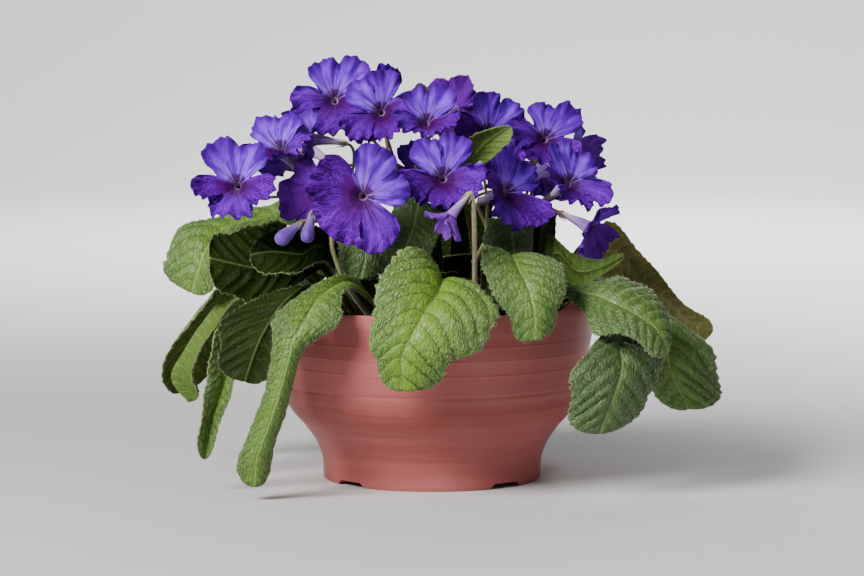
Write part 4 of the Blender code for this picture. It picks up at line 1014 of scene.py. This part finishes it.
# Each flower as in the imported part: the middle of its mouth, where it looks (round from the front, up, and its
# own turn), its size, and how far the lower lobes lean forward.
FLOWERS = {
    "flower_01": dict(at=(-55, 20, 210), face=(-5, 15, -8), size=1.0, lip=50, eye=0.75),
    "flower_02": dict(at=(-83, -30, 184), face=(-22, 22, 14), size=0.95, lip=74),
    "flower_03": dict(at=(-66, -19, 189), face=(-80, 0, 0), size=0.72, lip=20),
    "flower_04": dict(at=(-28, -10, 204), face=(0, 8, 22), size=0.98, lip=62, eye=0.4),
    "flower_05": dict(at=(-105, -58, 166), face=(-12, 12, 0), size=1.0, lip=62),
    "flower_06": dict(at=(-63, -42, 160), face=(-40, 8, -75), size=0.76, lip=30),
    "flower_07": dict(at=(-37, -80, 161), face=(-8, -2, -48), size=1.1, lip=24),
    "flower_08": dict(at=(-3, -28, 199), face=(3, 22, -5), size=0.85, lip=70),
    "flower_09": dict(at=(11, 26, 203), face=(160, 10, 0), size=0.9, lip=30),
    "flower_10": dict(at=(31, -3, 192), face=(15, 5, -25), size=0.92, lip=35),
    "flower_11": dict(at=(6, -58, 170), face=(2, 15, 6), size=1.04, lip=56),
    "flower_12": dict(at=(41, -38, 161), face=(36, 8, -30), size=0.95, lip=50),
    "flower_13": dict(at=(63, -2, 189), face=(12, 15, -22), size=0.92, lip=56),
    "flower_14": dict(at=(75, -36, 166), face=(25, 15, -15), size=0.92, lip=66),
    "flower_15": dict(at=(86, -26, 141), face=(62, -30, 0), size=0.74, lip=30, fold=16.0),
    "flower_16": dict(at=(10, -97, 152), face=(-80, -55, 0), size=0.58, lip=10, fold=42.0),
    "flower_17": dict(at=(83, 22, 184), face=(75, 10, 0), size=0.85, lip=30),
    "flower_18": dict(at=(-76, 38, 184), face=(-125, 15, 5), size=1.0, lip=40),
    "flower_19": dict(at=(-34, 66, 204), face=(-165, 20, -5), size=1.0, lip=40),
    "flower_20": dict(at=(30, 68, 186), face=(175, 15, 10), size=1.0, lip=40),
    "flower_21": dict(at=(64, 54, 170), face=(140, 15, -10), size=1.0, lip=40),
    "flower_22": dict(at=(-4, 52, 166), face=(178, 30, 0), size=0.85, lip=40),
}

# How light the throat is where a flower names no eye of its own.
DIM_EYE = 0.25

# How far a flower's colour goes to mauve, to pale and to dark. The others are plain violet.
MOODS = {
    "flower_09": (0.9, 0.0, 0.0), "flower_16": (0.7, 0.35, 0.0), "flower_03": (0.0, 0.1, 0.2),
    "flower_15": (0.2, 0.1, 0.45), "flower_17": (0.15, 0.1, 0.2), "flower_06": (0.5, 0.0, 0.1),
}


def facing(at, face):
    """Puts a flower's mouth at a point. Its face looks round from the front, then up, then turns in place."""
    around, up, turn = (math.radians(a) for a in (*face, 0.0)[:3])
    forward = Vector((math.sin(around) * math.cos(up), -math.cos(around) * math.cos(up), math.sin(up)))
    upward = (Vector((0, 0, 1)) - forward * forward.z).normalized()
    right = upward.cross(forward)
    upward = Matrix.Rotation(turn, 3, forward) @ upward
    right = Matrix.Rotation(turn, 3, forward) @ right
    made = Matrix((right, upward, forward)).transposed().to_4x4()
    made.translation = Vector(at)
    return made


def moved(place, points):
    """Points put through a placing matrix."""
    full = np.array(place)
    return np.asarray(points) @ full[:3, :3].T + full[:3, 3]


def limb_surface(angle, reach, lip, fold):
    """Points on the spreading lobes, and their normals. reach runs along the petal from the mouth's middle."""
    low = 0.5 * (1 - np.sin(angle))
    start = np.radians(UPPER_LEAN + (lip - UPPER_LEAN) * low + fold)
    bend = -math.radians(LOBE_CURL) / (LOBE_REACH[3] - MOUTH_RADIUS)
    lean = start + bend * (reach - MOUTH_RADIUS)
    radius = MOUTH_RADIUS + (np.sin(lean) - np.sin(start)) / bend
    height = (np.cos(start) - np.cos(lean)) / bend
    points = np.stack([radius * np.cos(angle), radius * np.sin(angle), height], axis=-1)
    normals = np.stack([-np.sin(lean) * np.cos(angle), -np.sin(lean) * np.sin(angle), np.cos(lean)], axis=-1)
    return points, normals


def tube_centre(share):
    """The middle of the flower's tube, from the mouth at 0 to the calyx at 1."""
    return np.array((0.0, -TUBE_DROP * share * share, -TUBE_LENGTH * share))


def corolla(name, flower, seed, finish):
    """The lobes' two faces, the tube's outside and its inside, as one closed skin."""
    size, lip = flower["size"], flower["lip"]
    place = facing(flower["at"], flower["face"]) @ Matrix.Scale(size, 4)
    q = np.linspace(-1.0, 1.0, LOBE_COLUMNS, endpoint=False)
    x = 0.6 * np.sin(0.5 * np.pi * q) + 0.4 * q
    w = (1 - (1 - np.linspace(0.0, 1.0, LOBE_ROWS)) ** 1.25)[:, None]
    angle, reach, fan, lift = [], [], [], []
    for lobe, (begin, first_reach) in enumerate(NOTCHES):
        end, last_reach = NOTCHES[(lobe + 1) % 5]
        end += 360.0 * (end < begin)
        mood = [sway(seed, 10 * k + lobe) for k in range(1, 7)]
        angle.append(begin + (end - begin) * 0.5 * (x + 1))
        fan.append((end - begin) * 0.5 * LOBE_FAN * x * (1 - x**8) + LOBE_DROOP[lobe])
        notch = first_reach + (last_reach - first_reach) * 0.5 * (x + 1)
        full = LOBE_REACH[lobe] * (1 + 0.08 * sway(seed, lobe + 1))
        teeth = np.sin(9.0 * np.pi * x + 4 * mood[0]) + 0.7 * np.sin(23.0 * x + 3 * mood[1])
        outline = (1 - np.abs(x) ** LOBE_ROUND[lobe]) ** 0.45
        outline = outline * (1 + 0.045 * np.sin(4.5 * x + 5 * mood[2]) + 0.010 * teeth)
        reach.append(notch + (full - notch) * outline)
        beyond = np.clip((w * reach[-1] - notch * 0.8) / (full - notch.min()), 0.0, 1.0)
        wave = -FRILL * math.copysign(1.0, sway(seed, lobe + 7)) * np.cos(2 * np.pi * x) * beyond
        ruffle = RUFFLE * size**2 * np.sin(5.6 * np.pi * x + 6 * mood[3]) * w**4 * (1 + 0.6 * (2 <= lobe))
        tipped = (LOBE_TIP * mood[4] + LOBE_TWIST * mood[5] * x) * beyond**2
        pleats = 0.14 * np.sin(17.0 * x + 2.0 * w + 3 * mood[0]) * w
        tipped = tipped + LOBE_CUP[lobe] * beyond**2 - LOBE_ARCH * (1 + mood[1]) * x**2 * w
        lift.append(wave + ruffle + tipped + CRINKLE * size**2 * teeth * w**5 + LOBE_OVERLAP * x * w**2 + pleats)
        lift[-1] = lift[-1] - LOBE_HOLLOW * np.exp(-(((w - 0.66) / 0.24) ** 2)) * (1 - x**2)
    angle, fan = np.radians(np.concatenate(angle)), np.radians(np.concatenate(fan))
    reach, lift, side = np.concatenate(reach), np.concatenate(lift, axis=1), np.tile(x, 5)
    columns = len(angle)
    length = MOUTH_RADIUS + (reach - MOUTH_RADIUS)[None, :] * w
    surface, normal = limb_surface(angle[None, :] + fan[None, :] * w**3, length, lip, flower.get("fold", 0.0))
    surface = surface + normal * lift[..., None]
    half = PETAL_HALF / size
    rim = np.stack([np.cos(angle), np.sin(angle), np.zeros(columns)], axis=-1)
    back = surface - normal * half
    back[0] += rim * 0.3
    front = surface + normal * half
    # Each ring of points, with 1 for the outside and 0 for the inside, and how far down the tube it lies.
    rings = [(tube_centre(share) + rim * radius, 1.0, share) for share, radius in TUBE_RADII]
    rings += [(row, 1.0, 0.0) for row in back] + [(row, 0.0, 0.0) for row in front[::-1]]
    rings += [(tube_centre(share) + rim * radius, 0.0, share) for share, radius in INNER_RADII]

    rows = len(rings)
    points = np.concatenate([ring for ring, _, _ in rings] + [tube_centre(1.0)[None], tube_centre(0.4)[None]])
    faces = []
    for k in range(rows - 1):
        for n in range(columns):
            m = (n + 1) % columns
            faces.append((k * columns + n, k * columns + m, (k + 1) * columns + m, (k + 1) * columns + n))
    first_cap, last_cap = rows * columns, rows * columns + 1
    for n in range(columns):
        m = (n + 1) % columns
        faces.append((first_cap, m, n))
        faces.append((last_cap, (rows - 1) * columns + n, (rows - 1) * columns + m))
    made = mesh_piece(name + "_corolla", moved(place, points), faces, [finish])

    lower = 1 - ease(0.22, 0.55, np.sin(angle))
    own = np.repeat([LOBE_TONES * sway(seed, lobe + 20) for lobe in range(5)], LOBE_COLUMNS) * (1 - side**4)
    lower = np.clip(lower + np.where(lower > 0.5, np.minimum(own, 0.0), np.maximum(own, 0.0)), 0.0, 1.0)
    outwards = w[:, 0]
    along = np.concatenate([np.zeros(len(TUBE_RADII)), outwards, outwards[::-1], np.zeros(len(INNER_RADII))])
    tube = np.array([share for _, _, share in rings])
    behind = np.array([outer for _, outer, _ in rings])

    def per_point(*parts):
        made_of = [np.broadcast_to(part, (rows, columns)).reshape(-1) for part in parts]
        values = np.stack(made_of, axis=-1)
        return np.concatenate([values, values[:1], values[-1:]])

    vector_mark(made, "petal", per_point(side[None, :], along[:, None], lower[None, :]))
    vector_mark(made, "corolla", per_point(behind[:, None], tube[:, None], flower.get("eye", DIM_EYE)))
    vector_mark(made, "mood", per_point(*MOODS.get(name, (0.0, 0.0, 0.0))))
    out_along = MOUTH_RADIUS + (reach - MOUTH_RADIUS)[None, :] * along[:, None]
    vector_mark(made, "net", per_point(angle[None, :] * NET_AROUND, out_along / NET_ALONG, seed * 7.3))
    vector_mark(made, "streak", per_point(np.cos(angle)[None, :], np.sin(angle)[None, :], (along - tube)[:, None]))
    return made


def petal_finish():
    """Violet skin, deeper on the lower lobes, with their lilac net, and a pale tube with purple lines."""
    finish, tree, shader = new_finish(
        "petal", Roughness=0.65, Specular_IOR_Level=0.05, Sheen_Weight=0.03, Sheen_Roughness=0.5,
        Sheen_Tint=(0.45, 0.15, 1.0, 1.0),
    )
    _, _, along, lower = mark_part(tree, "petal")
    _, behind, tube, eye = mark_part(tree, "corolla")
    _, mauve, pale, dark = mark_part(tree, "mood")
    net_place, _, _, _ = mark_part(tree, "net")
    streak_place, _, _, _ = mark_part(tree, "streak")
    cells = cell_edges(tree, net_place, 1.0)
    small = cell_edges(tree, net_place, FINE_CELLS)
    lines = noise_at(tree, stretched(tree, streak_place, 11.0, 11.0, 0.5), 1.0, 3.0, 0.6)
    cloud = noise_at(tree, net_place, 0.30, 3.0)

    net = times(tree, span(tree, cells, 0.0, 0.13, 1.0, 0.0), span(tree, along, 0.15, 0.60, 0.30, 1.0))
    lower_face = coats(
        tree, (0.040, 0.0, 0.11),
        (span(tree, cloud, 0.3, 0.7), (0.092, 0.0, 0.26)),
        (times(tree, net, 0.65), (0.22, 0.0, 0.72)),
        (span(tree, along, 0.05, 0.50, 0.75, 0.0), (0.070, 0.0, 0.10)),
        (span(tree, along, 0.92, 1.0, 0.0, 0.6), (0.042, 0.0, 0.15)),
    )
    streaks = times(tree, span(tree, lines, 0.44, 0.64), span(tree, along, 0.10, 0.60, 0.55, 0.0))
    inked = times(tree, span(tree, lines, 0.30, 0.44, 1.0, 0.0), span(tree, along, 0.15, 0.70, 0.70, 0.0))
    upper_face = coats(
        tree, (0.095, 0.0, 0.42),
        (span(tree, cloud, 0.35, 0.65), (0.24, 0.045, 0.90)),
        (streaks, (0.40, 0.27, 0.90)),
        (inked, (0.055, 0.0, 0.26)),
        (span(tree, along, 0.66, 1.0, 0.0, 0.9), (0.065, 0.0, 0.25)),
    )
    back_face = coats(
        tree, (0.17, 0.03, 0.46),
        (span(tree, along, 0.1, 0.9), (0.065, 0.0, 0.27)),
        (span(tree, lines, 0.48, 0.62, 0.0, 0.6), (0.040, 0.0, 0.18)),
    )
    limb = coats(
        tree, upper_face,
        (lower, lower_face),
        (behind, back_face),
        (times(tree, mauve, 0.7), (0.17, 0.01, 0.36)),
        (times(tree, pale, 0.7), (0.38, 0.16, 0.76)),
        (times(tree, dark, 0.7), (0.05, 0.0, 0.22)),
    )
    bright = blend_colour(tree, lower, (0.26, 0.16, 0.50), (0.05, 0.0, 0.09))
    funnel = blend_colour(tree, span(tree, lines, 0.46, 0.60), (0.045, 0.0, 0.08), bright)
    mouth = blend_colour(tree, span(tree, along, 0.0, 0.10, 1.0, 0.0), limb, funnel)
    gullet = blend_colour(tree, span(tree, lines, 0.50, 0.60, 0.0, 0.7), (0.52, 0.40, 0.46), (0.12, 0.0, 0.16))
    gullet = blend_colour(tree, eye, (0.16, 0.06, 0.20), gullet)
    inside = coats(
        tree, funnel,
        (span(tree, tube, 0.085, 0.12), gullet),
        (span(tree, tube, 0.18, 0.50), (0.30, 0.16, 0.26)),
    )
    outside = coats(
        tree, (0.40, 0.22, 0.64),
        (span(tree, tube, 0.2, 1.0), (0.60, 0.55, 0.58)),
        (span(tree, lines, 0.50, 0.58, 0.0, 0.8), (0.12, 0.01, 0.32)),
    )
    pipe = blend_colour(tree, behind, inside, outside)
    skin = blend_colour(tree, span(tree, tube, 0.0, 0.02), mouth, pipe)
    tree.links.new(skin, shader.inputs["Base Color"])
    velvet = bumped(tree, span(tree, small, 0.0, 0.4), 0.35, 0.0003)
    tree.links.new(bumped(tree, lines, 0.35, 0.0004, velvet), shader.inputs["Normal"])
    return finish


petal_skin = petal_finish()
for seed, (name, flower) in enumerate(FLOWERS.items()):
    bloom = corolla(name, flower, seed, petal_skin)
    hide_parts(name)
    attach(bloom, "root")


# ---- The buds: shut corollas, puffed and folded at the tip and slim towards the calyx. The youngest one is
# still dark and half green.
BUD_SIDES = 30
BUD_STATIONS = 33
BUD_LENGTH = 18.0
BUD_DROP = 3.0
# From the tip to the calyx: the bud's radius, and where along it that is, with the tip at 0.
BUD_OUTLINE = ((0.0, 0.0), (2.6, -0.9), (4.2, -4.0), (3.6, -8.5), (2.5, -13.0), (1.9, -18.0))
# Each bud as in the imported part: where its tip is, where it points (round from the front, and up), and its size.
BUDS = {
    "bud_01": dict(at=(-9, 4, 218), face=(-120, 25), size=0.8),
    "bud_02": dict(at=(-82, -76, 136), face=(-45, -40), size=1.0),
    "bud_03": dict(at=(-67, -72, 136), face=(-20, -70), size=0.9),
    "bud_04": dict(at=(26, -38, 177), face=(-10, 20), size=0.5),
}

# Each bud's colours, at its tip and at its foot.
BUD_COLOURS = {
    "bud_01": ((0.030, 0.016, 0.080), (0.10, 0.15, 0.03)), "bud_02": ((0.15, 0.035, 0.46), (0.32, 0.18, 0.56)),
    "bud_03": ((0.12, 0.025, 0.40), (0.30, 0.18, 0.52)), "bud_04": ((0.42, 0.36, 0.60), (0.28, 0.34, 0.12)),
}


def bud_finish():
    """The bud's own colour, with darker lines along it."""
    finish, tree, shader = new_finish(
        "bud", Roughness=0.5, Specular_IOR_Level=0.35, Sheen_Weight=0.3, Sheen_Roughness=0.5,
    )
    colour, _, _, _ = mark_part(tree, "tint")
    place, _, _, _ = mark_part(tree, "streak")
    lines = noise_at(tree, stretched(tree, place, 9.0, 9.0, 0.6), 1.0, 3.0)
    lined = blend_colour(tree, span(tree, lines, 0.48, 0.60, 0.0, 0.8), colour, scaled(tree, colour, 0.45))
    tree.links.new(lined, shader.inputs["Base Color"])
    tree.links.new(bumped(tree, lines, 0.4, 0.0005), shader.inputs["Normal"])
    return finish


def shut_bud(name, bud, seed, finish):
    """Five shallow folds wind round the outline, which hangs down a little towards the calyx."""
    place = facing(bud["at"], bud["face"]) @ Matrix.Scale(bud["size"], 4)
    knots = np.array(BUD_OUTLINE)
    fine = between(knots, np.linspace(0.0, len(knots) - 1, BUD_STATIONS + 1)[1:])
    angle = 2 * np.pi * np.arange(BUD_SIDES) / BUD_SIDES
    points, marks, tints = [(0.0, 0.0, 0.1)], [(0, 0, 0)], [0.0]
    for radius, z in fine:
        fold = 0.07 * math.exp(z / 4.0) * np.cos(5 * angle + 0.25 * z + seed)
        fold = fold - 0.05 * math.exp(-((z + 4.0) / 3.0) ** 2)
        wide = radius * (1 + fold)
        drop = BUD_DROP * (z / BUD_LENGTH) ** 2
        points += list(zip(wide * np.cos(angle), wide * np.sin(angle) - drop, np.full(BUD_SIDES, z)))
        marks += list(zip(np.cos(angle), np.sin(angle), np.full(BUD_SIDES, z / 9.0)))
        tints += [-z / BUD_LENGTH] * BUD_SIDES
    points.append((0.0, -BUD_DROP, -BUD_LENGTH))
    marks.append((0, 0, -2))
    tints.append(1.0)
    faces = [(0, 1 + n, 1 + (n + 1) % BUD_SIDES) for n in range(BUD_SIDES)]
    for k in range(len(fine) - 1):
        for n in range(BUD_SIDES):
            m = (n + 1) % BUD_SIDES
            a, b = 1 + k * BUD_SIDES, 1 + (k + 1) * BUD_SIDES
            faces.append((a + n, b + n, b + m, a + m))
    a = 1 + (len(fine) - 1) * BUD_SIDES
    faces += [(a + n, len(points) - 1, a + (n + 1) % BUD_SIDES) for n in range(BUD_SIDES)]
    made = mesh_piece(name + "_shut", moved(place, points), faces, [finish])
    tip, foot = (np.array(colour) for colour in BUD_COLOURS[name])
    share = ease(0.25, 1.0, np.array(tints))[:, None]
    vector_mark(made, "tint", tip * (1 - share) + foot * share)
    vector_mark(made, "streak", marks)
    return made


bud_skin = bud_finish()
for seed, (name, bud) in enumerate(BUDS.items()):
    shut = shut_bud(name, bud, seed, bud_skin)
    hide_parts(name)
    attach(shut, "root")


# ---- The flower stalks: thin fleshy stems that fork near the top. Each branch swells into a small calyx of five
# narrow sepals that clasp the flower's tube. Short pale hairs cover all of it.
STEM_SIDES = 12
STEM_STATIONS = 28
STEM_RADIUS = 1.5
STALKLET_SIDES = 10
STALKLET_STATIONS = 26
STALKLET_RADIUS = 0.85
STALKLET_PULL = 12.0
FORK_START = 1.5
FORK_STEP = 4.0
CALYX_RADIUS = 1.9
CALYX_LENGTH = 3.2
CAD_STEM_STATIONS = 6
SEPAL_LENGTH = 4.6
SEPAL_HALF = 0.75
SEPAL_STATIONS = 7
SEPAL_HAIRINESS = 0.6
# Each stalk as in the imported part: its foot on the soil, the knots its stem runs through, and what it carries.
STALKS = {
    "stalk_01": dict(stem=((-26, 0), (-34, 4, 130), (-46, 10, 160)), ends=("flower_02", "flower_03", "flower_05")),
    "stalk_02": dict(stem=((-14, -8), (-18, -12, 125), (-32, -28, 150)), ends=("flower_07", "flower_06")),
    "stalk_03": dict(stem=((-12, 8), (-18, 8, 130), (-24, 10, 176)), ends=("flower_01", "flower_04")),
    "stalk_04": dict(stem=((4, 0), (2, -4, 130), (0, -14, 164)), ends=("flower_08", "flower_11")),
    "stalk_05": dict(stem=((15, -5), (24, -12, 120), (30, -12, 134)), ends=("flower_12", "bud_04")),
    "stalk_06": dict(
        stem=((38, 8), (44, 4, 120), (54, 2, 150)), ends=("flower_13", "flower_14", "flower_15", "flower_17"),
    ),
    "stalk_07": dict(
        stem=((-8, 24), (-12, 26, 130), (-18, 30, 164)), ends=("flower_18", "flower_19", "flower_22", "bud_01"),
    ),
    "stalk_08": dict(
        stem=((12, 22), (16, 26, 130), (22, 30, 154)), ends=("flower_20", "flower_21", "flower_09", "flower_10"),
    ),
    "stalk_09": dict(stem=((22, -50), (23, -64, 112), (22, -90, 158)), ends=("flower_16",)),
    "stalk_10": dict(stem=((-30, -30), (-46, -54, 112), (-53, -60, 130), (-54, -61, 140)), ends=("bud_02", "bud_03")),
}

# The stalks' colours at the foot and at the top: green, with a red-brown or a beige cast on some.
STALK_TINTS = {
    "stalk_06": ((0.16, 0.10, 0.045), (0.12, 0.055, 0.035)), "stalk_09": ((0.36, 0.30, 0.17), (0.42, 0.33, 0.22)),
    "stalk_10": ((0.20, 0.22, 0.07), (0.24, 0.20, 0.09)), "stalk_05": ((0.24, 0.26, 0.09), (0.22, 0.20, 0.08)),
}
STALK_GREEN = ((0.17, 0.20, 0.055), (0.20, 0.17, 0.075))
TINT_RISE = 90.0
STALK_HAIRS = 5.0e5  # per square metre
STALK_HAIR_LENGTHS = (0.0006, 0.0012)  # metres


def stalk_finish():
    """The stalk's own colour, lighter in long streaks."""
    finish, tree, shader = new_finish(
        "stalk", Roughness=0.5, Specular_IOR_Level=0.4, Sheen_Weight=0.35, Sheen_Roughness=0.5,
        Subsurface_Weight=0.08, Subsurface_Scale=0.002,
    )
    colour, _, _, _ = mark_part(tree, "tint")
    mottle = noise_at(tree, stretched(tree, object_place(tree), 600.0, 600.0, 160.0), 1.0, 3.0)
    mottled = blend_colour(tree, span(tree, mottle, 0.4, 0.7, 0.0, 0.7), colour, scaled(tree, colour, 1.5))
    tree.links.new(mottled, shader.inputs["Base Color"])
    tree.links.new(bumped(tree, mottle, 0.35, 0.0005), shader.inputs["Normal"])
    return finish


def stem_places(knots, count):
    """Places along a stem: its buried foot, then even steps from the soil up."""
    steps, _ = even_steps(knots, count - 1)
    return between(knots, np.concatenate([[0.0], steps]))


def stem_tube(places, radii, sides, last_way=None):
    """Points and faces of a closed round tube along places."""
    places = [Vector(p) for p in places]
    last = len(places) - 1
    ways = [(places[min(k + 1, last)] - places[max(k - 1, 0)]).normalized() for k in range(last + 1)]
    if last_way:
        ways[-1] = Vector(last_way)
    side = ways[0].orthogonal().normalized()
    points, faces = [], []
    for k, (place, way, radius) in enumerate(zip(places, ways, radii)):
        side = (side - way * side.dot(way)).normalized()
        other = way.cross(side)
        for n in range(sides):
            angle = 2 * math.pi * n / sides
            points.append(place + (side * math.cos(angle) + other * math.sin(angle)) * radius)
        if k:
            low, high = (k - 1) * sides, k * sides
            faces += [(low + n, low + (n + 1) % sides, high + (n + 1) % sides, high + n) for n in range(sides)]
    faces += [tuple(reversed(range(sides))), tuple(range(last * sides, (last + 1) * sides))]
    return points, faces


def calyx_end(name):
    """Where a flower or bud starts, the way it runs there, its placing matrix and its size."""
    thing = FLOWERS.get(name) or BUDS[name]
    place = facing(thing["at"], thing["face"]) @ Matrix.Scale(thing["size"], 4)
    foot = tube_centre(1.0) if name in FLOWERS else (0.0, -BUD_DROP, -BUD_LENGTH)
    return place @ Vector(foot), place.col[2].to_3d().normalized(), place, thing["size"]


def sepals(name):
    """Five narrow leaflets round the foot of the tube, each a thin closed wedge."""
    foot, _, place, size = calyx_end(name)
    base = np.array(place.inverted() @ foot)
    points, faces = [], []
    for lobe in range(5):
        angle = math.radians(90.0 + 72.0 * lobe)
        out = np.array((math.cos(angle), math.sin(angle), 0.0))
        around = np.array((-math.sin(angle), math.cos(angle), 0.0))
        first = len(points)
        for k in range(SEPAL_STATIONS):
            share = k / (SEPAL_STATIONS - 1)
            half = SEPAL_HALF / size * (1 - share) ** 0.7 + 0.04
            lift = (CALYX_RADIUS + 0.12 + 0.30 * share + 0.5 * share**3) / size
            centre = base + np.array((0.0, 0.0, (SEPAL_LENGTH * share - 0.8) / size)) + out * lift
            for wide, high in ((-1, 0.0), (0, 0.28), (1, 0.0), (0, -0.18)):
                points.append(centre + around * half * wide + out * high / size * (1 - 0.6 * share))
            if k:
                low, up = first + 4 * (k - 1), first + 4 * k
                faces += [(low + n, up + n, up + (n + 1) % 4, low + (n + 1) % 4) for n in range(4)]
        faces += [(first, first + 1, first + 2, first + 3)]
        end = first + 4 * (SEPAL_STATIONS - 1)
        faces += [(end + 3, end + 2, end + 1, end)]
    return moved(place, points), faces


def flower_stalk(name, stalk, finish):
    """A stem with its branches fused on, and the sepals at each branch's end."""
    x, y = stalk["stem"][0]
    planted = [(x, y, ROOT_LOW), (x, y, ROOT_HIGH), *stalk["stem"][1:]]
    coarse = stem_places(planted, CAD_STEM_STATIONS)
    top, way = Vector(coarse[-1]), (Vector(coarse[-1]) - Vector(coarse[-2])).normalized()
    places = stem_places(planted, STEM_STATIONS)
    radii = np.linspace(STEM_RADIUS, 0.75 * STEM_RADIUS, STEM_STATIONS)
    made = mesh_piece(name + "_stems", *stem_tube(places, radii, STEM_SIDES), [finish])
    extra_points, extra_faces = [], []
    for step, end_name in enumerate(stalk["ends"]):
        end, end_way, _, _ = calyx_end(end_name)
        end = end - end_way * SEAT_GAP
        fork = top - way * (FORK_START + FORK_STEP * step)
        pull = min(STALKLET_PULL, (end - fork).length * 0.4)
        a, b = fork + way * pull, end - end_way * pull
        t = np.linspace(0.0, 1.0, STALKLET_STATIONS)[:, None]
        pulled = (np.array(a) * (1 - t) + np.array(b) * t) * 3 * t * (1 - t)
        route = np.array(fork) * (1 - t) ** 3 + pulled + np.array(end) * t**3
        left = np.linalg.norm(route - np.array(end), axis=1)
        widths = STALKLET_RADIUS + (CALYX_RADIUS - STALKLET_RADIUS) * (1 - ease(0.0, CALYX_LENGTH, left))
        branch = mesh_piece("branch", *stem_tube(route, widths, STALKLET_SIDES, end_way), [finish])
        combine(made, branch, "UNION")
        points, faces = sepals(end_name)
        shift = len(extra_points)
        extra_points += list(points)
        extra_faces += [tuple(shift + n for n in face) for face in faces]
    body = made.data
    bearing_mark(made, np.ones(len(body.vertices)))
    joined = bmesh.new()
    joined.from_mesh(body)
    layer = joined.verts.layers.float["bearing"]
    added = [joined.verts.new(Vector(point) * MM) for point in extra_points]
    for vertex in added:
        vertex[layer] = SEPAL_HAIRINESS
    for face in extra_faces:
        joined.faces.new([added[n] for n in face]).smooth = True
    joined.to_mesh(body)
    joined.free()
    heights = np.empty(len(body.vertices) * 3)
    body.vertices.foreach_get("co", heights)
    share = ease(SOIL_TOP, SOIL_TOP + TINT_RISE, heights[2::3] / MM)[:, None]
    foot, head = (np.array(colour) for colour in STALK_TINTS.get(name, STALK_GREEN))
    vector_mark(made, "tint", foot * (1 - share) + head * share)
    return made


stalk_skin = stalk_finish()
for seed, (name, stalk) in enumerate(STALKS.items()):
    stems = flower_stalk(name, stalk, stalk_skin)
    add_hairs(stems, STALK_HAIRS, *STALK_HAIR_LENGTHS, seed)
    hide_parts(name)
    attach(stems, "root")
